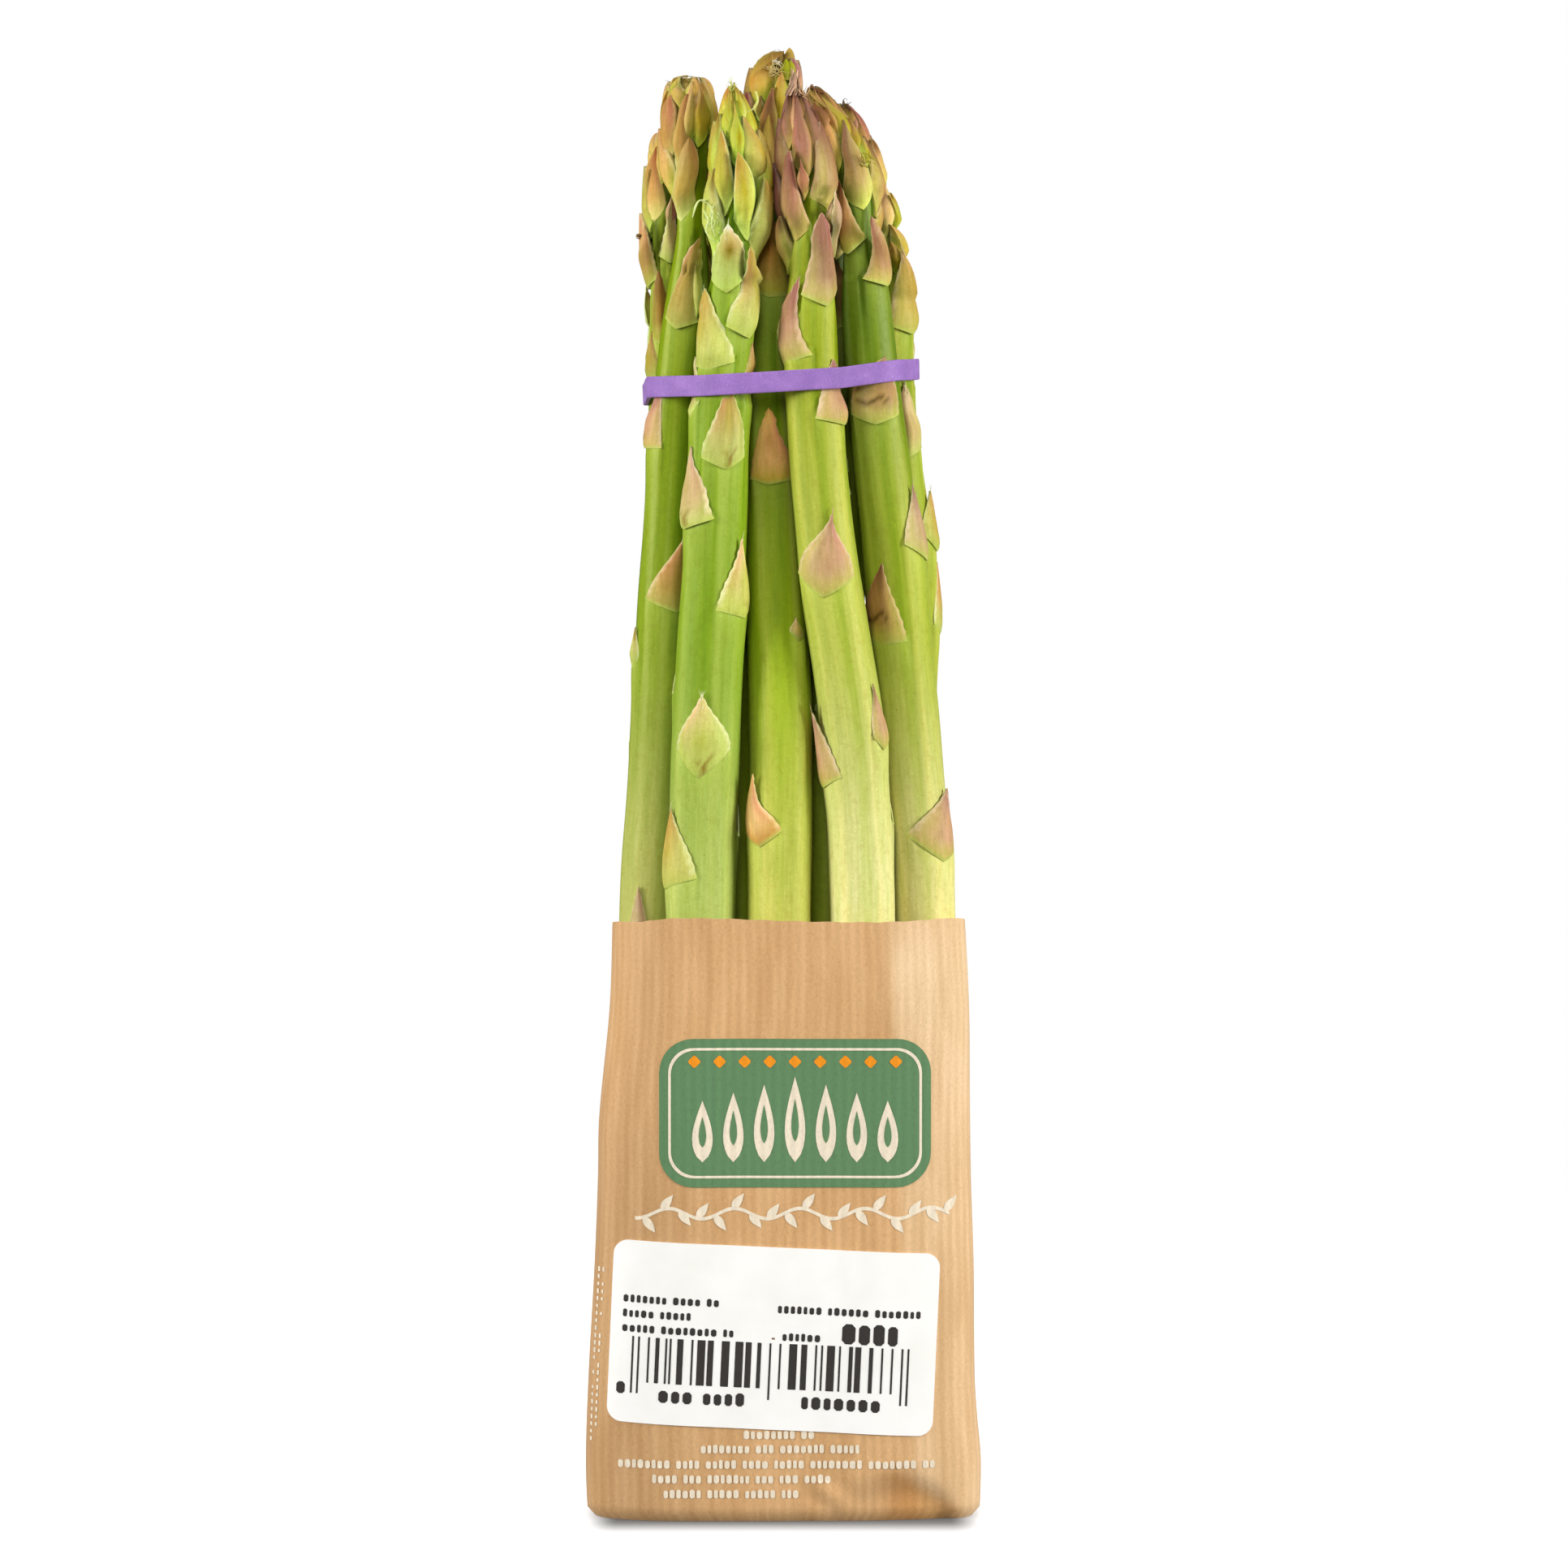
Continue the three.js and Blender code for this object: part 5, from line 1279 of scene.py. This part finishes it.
# Rows of blocks on the label: left, right, height, block's width and height, and gap.
LABEL_ROWS = [
    (-26.4, -9.2, 5.8, (0.8, 1.4), 0.4), (-26.4, -13.5, 3.2, (0.8, 1.4), 0.4),
    (-26.4, -6.4, 0.6, (0.8, 1.4), 0.4), (0.6, 26.0, 5.2, (0.8, 1.4), 0.4),
    (1.6, 8.2, 0.4, (0.8, 1.4), 0.4), (12.0, 24.0, 1.6, (2.2, 4.0), 0.6),
    (-27.0, -25.0, -9.9, (1.3, 2.3), 0.5), (-19.6, -4.6, -11.0, (1.4, 2.3), 0.6),
    (5.4, 20.2, -11.0, (1.4, 2.3), 0.6),
]


def words(shell, left, right, row, size, gap, colour, rng, lift, tilt=0.0, origin=(0.0, 0.0)):
    """A row of small plain blocks, in groups as long as words: nothing that can be read."""
    u, letters = left, int(rng.integers(3, 9))
    while u < right - size[0]:
        width = size[0] * rng.uniform(0.75, 1.2)
        height = size[1] * rng.uniform(0.85, 1.0)
        block = turned(rounded(width, height, 0.28 * min(width, height), 2), tilt)
        at = turned(np.array([[u + width / 2, row - (size[1] - height) / 2]]), tilt)[0] + origin
        stamp(shell, block, at, lift, colour)
        letters -= 1
        u += width + gap
        if letters == 0:
            u += size[0]
            letters = int(rng.integers(3, 9))


def twig_z(x):
    return TWIG["z"] + TWIG["height"] * np.sin(x * TWIG["wave"])


def make_print():
    """A plain green panel of upright leaves, a wavy twig below it, and rows of small plain blocks."""
    rng = np.random.default_rng(7)
    shell = Shell()
    x, z, width, height = PANEL["x"], PANEL["z"], PANEL["width"], PANEL["height"]
    stamp(shell, rounded(width, height, PANEL["corner"], 10), (x, z), PANEL_INK, GREEN, rings=16)
    inset, line = PANEL["inset"], PANEL["line"]
    edge = refined(rounded(width - 2 * inset, height - 2 * inset, PANEL["corner"] - inset, 10))
    shrink = 1 - np.array([2 * line / width, 2 * line / height])
    stamp(shell, edge, (x, z), LEAF_INK, CREAM, inner=edge * shrink)
    for k in range(-LEAVES["each_way"], LEAVES["each_way"] + 1):
        tall = LEAVES["height"] - LEAVES["shorter"] * abs(k)
        foot_x, foot_z = x + k * LEAVES["pitch"], z - LEAVES["foot"]
        stamp(shell, leaf_outline(tall, LEAVES["width"]), (foot_x, foot_z), LEAF_INK, CREAM, rings=5)
        vein = leaf_outline(tall * 0.5, 1.3)
        stamp(shell, vein, (foot_x, foot_z + tall * 0.24), VEIN_INK, GREEN, rings=3)
    lozenge = turned(rounded(LOZENGES["size"], LOZENGES["size"], LOZENGES["corner"], 3), 45)
    for k in range(-LOZENGES["each_way"], LOZENGES["each_way"] + 1):
        stamp(shell, lozenge, (x + k * LOZENGES["pitch"], z + LOZENGES["rise"]), LEAF_INK, ORANGE)
    along = np.linspace(TWIG["left"], TWIG["right"], 120)
    flat_x = np.stack([along, along])
    flat_z = np.stack([twig_z(along) - TWIG["thick"], twig_z(along) + TWIG["thick"]])
    shell.add_grid(on_front(flat_x, flat_z, TWIG_INK), CREAM, paper_grain(flat_x, flat_z))
    for k, leaf_x in enumerate(np.arange(TWIG["left"] + 1.5, TWIG["right"] - 0.5, TWIG["pitch"])):
        outline = turned(leaf_outline(3.4, 1.5), -38 if k % 2 else -142)
        stamp(shell, outline, (leaf_x, twig_z(leaf_x)), TWIG_INK + 0.01, CREAM, rings=3)
    for row, left, right in PRINT_ROWS:
        words(shell, left, right, row, *BLOCK, CREAM, rng, BLOCK_INK)
    for inward in SIDE_PRINT["columns"]:
        for row in np.arange(SIDE_PRINT["low"], SIDE_PRINT["high"], SIDE_PRINT["pitch"]):
            if rng.uniform() < 0.8:
                column = float(follow(SLEEVE_LEFT, row)) + inward
                block = rounded(0.35, rng.uniform(0.5, 0.9), 0.1, 2)
                stamp(shell, block, (column, row), BLOCK_INK, CREAM)
    return shell.build("sleeve_print", INK)


def make_label():
    """The label: its face, and its thin side down to the paper."""
    shell = Shell()
    outline = turned(rounded(LABEL["width"], LABEL["height"], LABEL["corner"], 8), LABEL["tilt"])
    share = np.linspace(0.01, 1, 28)[:, None, None]
    flat = refined(outline, 0.8) * share + np.array([LABEL["x"], LABEL["z"]])
    x, z = np.moveaxis(flat, -1, 0)
    over = on_front(x, z, LABEL["lift"] + LABEL["thick"])
    side = np.concatenate([over[-1:], on_front(x[-1:], z[-1:], 0.04)])
    shell.add_grid(over, LABEL_WHITE, paper_grain(x, z), closed=True, flipped=True)
    shell.add_grid(side, LABEL_WHITE, paper_grain(x, z)[-2:], closed=True, flipped=True)
    return shell.build("paper_label", LABEL_PAPER, ["label"])


BARS = dict(left=-24.6, right=23.6, row=-4.8, tall=8.0, guard=10.0)
BAR_WIDTHS = [0.34, 0.34, 0.7, 1.05, 1.4]  # the first is a guard's too
BAR_GAPS = [0.4, 0.7, 1.0, 1.4]
GUARDS = [(-25, -23), (-1.4, 1.0), (21.4, 24)]  # where the bars are thin and long


def make_label_print():
    """Plain upright bars of seeded widths and rows of small blocks: nothing that can be read."""
    rng = np.random.default_rng(21)
    shell = Shell()
    tilt, origin = LABEL["tilt"], (LABEL["x"], LABEL["z"])
    lift = LABEL["lift"] + LABEL["thick"] + 0.04
    u = BARS["left"]
    while u < BARS["right"]:
        guard = any(low < u < high for low, high in GUARDS)
        width = BAR_WIDTHS[0] if guard else float(rng.choice(BAR_WIDTHS))
        tall = BARS["guard"] if guard else BARS["tall"]
        at = turned(np.array([[u + width / 2, BARS["row"] - (tall - BARS["tall"]) / 2]]), tilt)[0] + origin
        stamp(shell, turned(rounded(width, tall, 0.05, 2), tilt), at, lift, BLACK)
        u += width + float(rng.choice(BAR_GAPS))
    for left, right, row, size, gap in LABEL_ROWS:
        words(shell, left, right, row, size, gap, BLACK, rng, lift, tilt, origin)
    return shell.build("label_print", INK)


# ---------------------------------------------------------------- rubber band
def band_loop(outset, count):
    """The tight loop round the stems at the band's height, with its points evenly apart."""
    circles = []
    for spear in SPEARS:
        x, _ = axis_at(spear, BAND["z"])
        z = BAND["z"] + BAND["slope"] * x
        circles.append([*axis_at(spear, z), core_radius(spear, z) + outset])
    turn = np.linspace(0, 2 * np.pi, 1441)[:-1]
    ahead = np.stack([np.sin(turn), -np.cos(turn)], axis=-1)
    rims = np.array([[x, y] + r * ahead for x, y, r in circles])
    reach = (rims * ahead).sum(axis=-1)
    loop = rims[reach.argmax(axis=0), np.arange(len(turn))]
    steps = np.linalg.norm(np.roll(loop, -1, axis=0) - loop, axis=1)
    run = np.concatenate([[0], np.cumsum(steps)])
    wrapped = np.concatenate([loop, loop[:1]])
    at = np.linspace(0, run[-1], count + 1)[:-1]
    return np.stack([np.interp(at, run, wrapped[:, 0]), np.interp(at, run, wrapped[:, 1])], axis=-1)


def make_band():
    """The flat band: a round-cornered section led along the loop, dipping and leaning a little."""
    shell = Shell()
    middle = band_loop(BAND["pressed"] + 0.05 + BAND["thick"] / 2, 420)
    ahead = np.roll(middle, -2, axis=0) - np.roll(middle, 2, axis=0)
    ahead = ahead / np.linalg.norm(ahead, axis=1)[:, None]
    out = np.stack([ahead[:, 1], -ahead[:, 0]], axis=-1)
    section = refined(rounded(BAND["thick"], BAND["height"], 0.22, 4), 0.5)
    left = smooth(-21, -25, middle[:, 0])
    dip = np.interp(middle[:, 0], [-24, -14, -2, 10, 20], [1.6, 0.6, 0.0, -0.5, -0.1])
    dip = dip * smooth(5, -5, middle[:, 1]) + 0.5 * left * smooth(-6, 4, middle[:, 1])
    lean = 0.10 * np.sin(middle[:, 0] * 0.21 + 1.0)
    points = np.zeros((len(section), len(middle), 3))
    for k, (across, up) in enumerate(section):
        points[k, :, :2] = middle + out * (across + lean * up / 2)[:, None]
        points[k, :, 2] = BAND["z"] + BAND["slope"] * middle[:, 0] + dip + up
    points = np.concatenate([points, points[:1]])
    run = np.arange(len(middle)) * 0.3
    grains = np.stack(np.broadcast_arrays(run[None, :], np.zeros((len(points), 1)), points[..., 2]), axis=-1)
    shell.add_grid(points, PURPLE, grains, closed=True, flipped=True)
    return shell.build("purple_band", RUBBER, ["rubber_band"])


# ---------------------------------------------------------------- materials
class Look:
    """A material built node by node on the default surface shader."""

    def __init__(self, name):
        self.material = bpy.data.materials.new(name)
        self.material.use_nodes = True
        self.tree = self.material.node_tree
        self.shader = self.tree.nodes["Principled BSDF"]

    def node(self, kind, settings=None, **sockets):
        """A new node with its settings and its inputs by name, each a number or another node's output."""
        made = self.tree.nodes.new("ShaderNode" + kind)
        for key, value in (settings or {}).items():
            setattr(made, key, value)
        for key, value in sockets.items():
            self.feed(made.inputs[key.replace("_", " ")], value)
        return made

    def feed(self, socket, value):
        if isinstance(value, bpy.types.NodeSocket):
            self.tree.links.new(value, socket)
        else:
            socket.default_value = value

    def attribute(self, name, part):
        return self.node("Attribute", dict(attribute_name=name)).outputs[part]

    def place_mm(self):
        return self.times(self.node("TexCoord").outputs["Object"], (1000, 1000, 1000))

    def maths(self, operation, *values):
        made = self.node("Math", dict(operation=operation))
        for k, value in enumerate(values):
            self.feed(made.inputs[k], value)
        return made.outputs[0]

    def times(self, vector, scale):
        made = self.node("VectorMath", dict(operation="MULTIPLY"))
        self.feed(made.inputs[0], vector)
        made.inputs[1].default_value = scale
        return made.outputs[0]

    def noise(self, vector, scale, detail=2.0, roughness=0.5):
        made = self.node("TexNoise", None, Vector=vector, Scale=scale, Detail=detail, Roughness=roughness)
        return made.outputs[0]

    def ranged(self, value, from_low, from_high, to_low, to_high, how="LINEAR"):
        """A value led from one range to another, and held at its ends."""
        made = self.node("MapRange", dict(interpolation_type=how))
        for k, part in enumerate((value, from_low, from_high, to_low, to_high)):
            self.feed(made.inputs[k], part)
        return made.outputs[0]

    def blend(self, first, second, share, how="MIX"):
        made = self.node("Mix", dict(data_type="RGBA", blend_type=how))
        self.feed(made.inputs[0], share)
        self.feed(made.inputs[6], first)
        self.feed(made.inputs[7], second)
        return made.outputs[2]

    def bump(self, height, strength, distance, below=None):
        made = self.node("Bump", None, Height=height, Strength=strength, Distance=distance)
        if below is not None:
            self.feed(made.inputs["Normal"], below)
        return made.outputs[0]

    def tinted(self, colour, rows):
        """Multiplies a colour by each row's tint, by up to most of it as the value goes from start to end."""
        for value, start, end, most, tint in rows:
            colour = self.blend(colour, (*tint, 1), self.ranged(value, start, end, 0, most), "MULTIPLY")
        return colour

    def finish(self, colour, normal, **sockets):
        self.feed(self.shader.inputs["Base Color"], colour)
        self.feed(self.shader.inputs["Normal"], normal)
        for key, value in sockets.items():
            self.feed(self.shader.inputs[key.replace("_", " ")], value)
        return self.material


def skin_look():
    """Waxy asparagus skin: fine streaks along the stem, mottling, small brown specks, soft gloss."""
    look = Look("asparagus_skin")
    grain, place_mm = look.attribute("grain", "Vector"), look.place_mm()
    streaks = look.noise(grain, 1.5, 3.0, 0.6)
    mottle = look.noise(place_mm, 0.9, 4.0, 0.6)
    dust = look.noise(place_mm, 2.6, 2.0, 0.7)
    streaked = look.ranged(streaks, 0.32, 0.68, 0, 1)
    tint = look.blend((0.90, 0.93, 0.78, 1), (1.08, 1.06, 1.16, 1), streaked)
    colour = look.blend(look.attribute("base", "Color"), tint, 1.0, "MULTIPLY")
    colour = look.tinted(colour, [
        (mottle, 0.5, 0.75, 0.5, (0.80, 0.70, 0.55)),
        (dust, 0.56, 0.74, 0.6, (1.3, 1.3, 1.5)),
    ])
    cells = look.node("TexVoronoi", None, Vector=place_mm, Scale=0.42)
    dots = look.ranged(cells.outputs["Distance"], 0.03, 0.07, 1, 0)
    chance = look.ranged(look.noise(place_mm, 0.13, 1.0), 0.5, 0.62, 0, 0.8)
    colour = look.blend(colour, (0.24, 0.15, 0.02, 1), look.maths("MULTIPLY", dots, chance))
    normal = look.bump(look.noise(grain, 7.0, 2.0), 0.22, 0.00005, look.bump(streaks, 0.30, 0.00012))
    return look.finish(
        colour, normal, Roughness=look.ranged(mottle, 0.3, 0.7, 0.40, 0.54), Specular_IOR_Level=0.1,
        Subsurface_Weight=0.14, Subsurface_Radius=(0.9, 1.0, 0.3), Subsurface_Scale=0.0012,
    )


def paper_fibres(look, grain):
    """Broad streaks, soft uneven ribs, fibres and fine flecks of kraft paper, as values of about a half."""
    drift = look.noise(look.times(grain, (0.30, 1, 0.045)), 1.0, 3.0)
    wave = look.node(
        "TexWave", dict(wave_type="BANDS", bands_direction="X"), Vector=grain,
        Scale=math.pi / 10 / RIB_PITCH, Distortion=1.5, Detail=3.0, Detail_Scale=0.3,
    )
    fading = look.ranged(look.noise(look.times(grain, (0.12, 1, 0.05)), 1.0, 2.0), 0.35, 0.65, 0.45, 1.0)
    ribs = look.maths("MULTIPLY", wave.outputs["Fac"], fading)
    fibres = look.noise(look.times(grain, (2.2, 1, 1.1)), 1.0, 4.0, 0.65)
    flecks = look.noise(look.times(grain, (2.0, 1, 1.5)), 1.0, 4.0, 0.8)
    return drift, ribs, fibres, flecks


def kraft_look():
    """Brown paper, ribbed and flecked, lighter and darker in broad streaks."""
    look = Look("kraft_paper_look")
    drift, ribs, fibres, flecks = paper_fibres(look, look.attribute("grain", "Vector"))
    colour = look.tinted(look.attribute("base", "Color"), [
        (ribs, 0.1, 0.9, 0.5, (1.20, 1.24, 1.34)),
        (drift, 0.44, 0.66, 0.65, (0.84, 0.79, 0.70)),
        (drift, 0.50, 0.32, 0.5, (1.10, 1.14, 1.22)),
        (fibres, 0.5, 0.75, 0.4, (0.82, 0.76, 0.66)),
        (flecks, 0.54, 0.72, 0.8, (1.25, 1.28, 1.35)),
        (flecks, 0.44, 0.27, 0.8, (0.66, 0.56, 0.44)),
    ])
    normal = look.bump(flecks, 0.4, 0.00004, look.bump(ribs, 0.2, 0.00006))
    return look.finish(colour, normal, Roughness=0.72, Specular_IOR_Level=0.3, Sheen_Weight=0.08)


def ink_look():
    """Ink printed on paper: the ribs and fibres under it make it uneven."""
    look = Look("print_ink")
    _, ribs, fibres, flecks = paper_fibres(look, look.attribute("grain", "Vector"))
    colour = look.tinted(look.attribute("base", "Color"), [
        (ribs, 0.1, 0.9, 0.5, (1.25, 1.25, 1.25)),
        (fibres, 0.5, 0.75, 0.6, (0.72, 0.70, 0.66)),
        (flecks, 0.54, 0.72, 0.6, (1.3, 1.3, 1.3)),
    ])
    return look.finish(colour, look.bump(flecks, 0.3, 0.00004), Roughness=0.7, Specular_IOR_Level=0.15)


def label_look():
    """Smooth white paper, faintly clouded."""
    look = Look("label_paper_look")
    grain = look.attribute("grain", "Vector")
    cloud, fine = look.noise(grain, 0.09, 3.0), look.noise(grain, 6.0, 2.0)
    colour = look.tinted(look.attribute("base", "Color"), [(cloud, 0.4, 0.65, 1, (0.95, 0.945, 0.93))])
    normal = look.bump(fine, 0.15, 0.00003, look.bump(cloud, 0.2, 0.0006))
    return look.finish(colour, normal, Roughness=look.ranged(cloud, 0.3, 0.7, 0.34, 0.46))


def rubber_look():
    """Dusty matte rubber with a fine grain and paler spots of wear."""
    look = Look("band_rubber_look")
    place_mm = look.place_mm()
    grain = look.noise(place_mm, 4.0, 3.0, 0.7)
    colour = look.tinted(look.attribute("base", "Color"), [
        (look.noise(place_mm, 0.35, 2.0), 0.4, 0.65, 0.7, (1.28, 1.3, 1.2)),
        (grain, 0.5, 0.7, 0.8, (1.25, 1.3, 1.15)),
        (look.noise(place_mm, 2.2, 2.0, 0.8), 0.55, 0.75, 0.8, (1.35, 1.5, 1.25)),
    ])
    return look.finish(
        colour, look.bump(grain, 0.4, 0.00008), Roughness=0.7, Subsurface_Weight=0.05,
        Subsurface_Scale=0.0008,
    )


# ---------------------------------------------------------------- floor, light and camera
# Sizes in this section are metres, apart from CAMERA's.
FLOOR_RADIUS = 0.7
ROOM_LIGHT = 0.14  # what the white room sends onto the object; it shows as plain white behind it
# The painted soft shadow at the foot: where it fades out across, towards the viewer and behind, and its grey.
SHADOW = dict(across=(0.0290, 0.0365), ahead=(-0.0160, -0.0375), behind=(-0.010, 0.020), grey=0.13)
# Softboxes: place, aim, size and power.
SOFTBOXES = {
    "right_light": ((1.25, -0.50, 0.40), (0, 0, 0.14), 0.5, 18.5),
    "left_light": ((-1.25, -0.55, 0.45), (0, 0, 0.14), 0.5, 17.0),
    "front_light": ((-0.15, -1.3, 0.75), (0, 0, 0.12), 0.5, 5.4),
    "top_light": ((0.05, -0.5, 1.25), (0, 0, 0.2), 0.4, 3.0),
    "back_light": ((0.0, 1.35, 0.45), (0, 0, 0.13), 0.6, 9.0),
}
CAMERA = dict(aim=(0.07, -11.0, 129.1), far=1246.5, elevation=2.0, lens=163.0)
WHITE = (1, 1, 1, 1)


def make_floor():
    """A round pale floor that melts into the white room at its rim, with a painted soft shadow at the foot.
    """
    look = Look("studio_floor")
    look.shader.inputs["Roughness"].default_value = 0.9
    look.shader.inputs["Emission Strength"].default_value = 0.72
    place_m = look.node("TexCoord").outputs["Object"]
    parts = look.node("SeparateXYZ", None, Vector=place_m).outputs
    distances = dict(across=look.maths("ABSOLUTE", parts["X"]), ahead=parts["Y"], behind=parts["Y"])
    # Painted shadow: grey at the foot, fading to white across, ahead and behind; it darkens both the floor's
    # colour and its glow.
    shade = (SHADOW["grey"],) * 3 + (1,)
    for way, distance in distances.items():
        shade = look.blend(shade, WHITE, look.ranged(distance, *SHADOW[way], 0, 1, "SMOOTHSTEP"))
    look.feed(look.shader.inputs["Base Color"], look.blend(shade, (0.5, 0.5, 0.5, 1), 1.0, "MULTIPLY"))
    look.feed(look.shader.inputs["Emission Color"], shade)
    length = look.node("VectorMath", dict(operation="LENGTH"))
    look.feed(length.inputs[0], place_m)
    fade = look.ranged(length.outputs["Value"], 0.45 * FLOOR_RADIUS, 0.95 * FLOOR_RADIUS, 1, 0)
    look.feed(look.shader.inputs["Alpha"], fade)
    bpy.ops.mesh.primitive_circle_add(vertices=96, radius=FLOOR_RADIUS, fill_type="NGON")
    floor = bpy.context.object
    floor.name = "studio_floor"
    floor.visible_diffuse = False
    floor.data.materials.append(look.material)


def add_softbox(name, place_m, aim, size, power):
    """A square area light that faces aim."""
    light = bpy.data.lights.new(name, "AREA")
    light.shape = "SQUARE"
    light.size = size
    light.energy = power
    lamp = bpy.data.objects.new(name, light)
    lamp.location = place_m
    lamp.rotation_euler = (Vector(aim) - Vector(place_m)).to_track_quat("-Z", "Y").to_euler()
    bpy.context.scene.collection.objects.link(lamp)


def make_camera():
    """The camera, far times MM from its aim and elevation degrees above the level."""
    data = bpy.data.cameras.new("photo_camera")
    data.lens = CAMERA["lens"]
    data.sensor_width = 36
    camera = bpy.data.objects.new("photo_camera", data)
    rise = math.radians(CAMERA["elevation"])
    aim = Vector(CAMERA["aim"]) * MM
    back = Vector((0, -math.cos(rise), math.sin(rise)))
    camera.location = aim + back * CAMERA["far"] * MM
    camera.rotation_euler = (-back).to_track_quat("-Z", "Y").to_euler()
    bpy.context.scene.collection.objects.link(camera)
    bpy.context.scene.camera = camera


def make_room():
    """A white room that shows as plain white and lights the object less, five softboxes and the floor."""
    scene = bpy.context.scene
    scene.view_settings.view_transform = "Standard"
    world = bpy.data.worlds.new("white_room")
    world.use_nodes = True
    nodes, links = world.node_tree.nodes, world.node_tree.links
    background = nodes["Background"]
    background.inputs["Color"].default_value = WHITE
    seen = nodes.new("ShaderNodeLightPath")
    strength = nodes.new("ShaderNodeMapRange")
    strength.inputs["To Min"].default_value = ROOM_LIGHT
    strength.inputs["To Max"].default_value = 1.0
    links.new(seen.outputs["Is Camera Ray"], strength.inputs["Value"])
    links.new(strength.outputs[0], background.inputs["Strength"])
    scene.world = world
    for name, settings in SOFTBOXES.items():
        add_softbox(name, *settings)
    make_floor()


# ---------------------------------------------------------------- the bundle
make_camera()
make_room()
SKIN = skin_look()
KRAFT = kraft_look()
INK = ink_look()
LABEL_PAPER = label_look()
RUBBER = rubber_look()
settle(SPEARS)
for order, one in enumerate(SPEARS):
    make_spear(one, order)
make_sleeve()
make_print()
make_label()
make_label_print()
make_band()
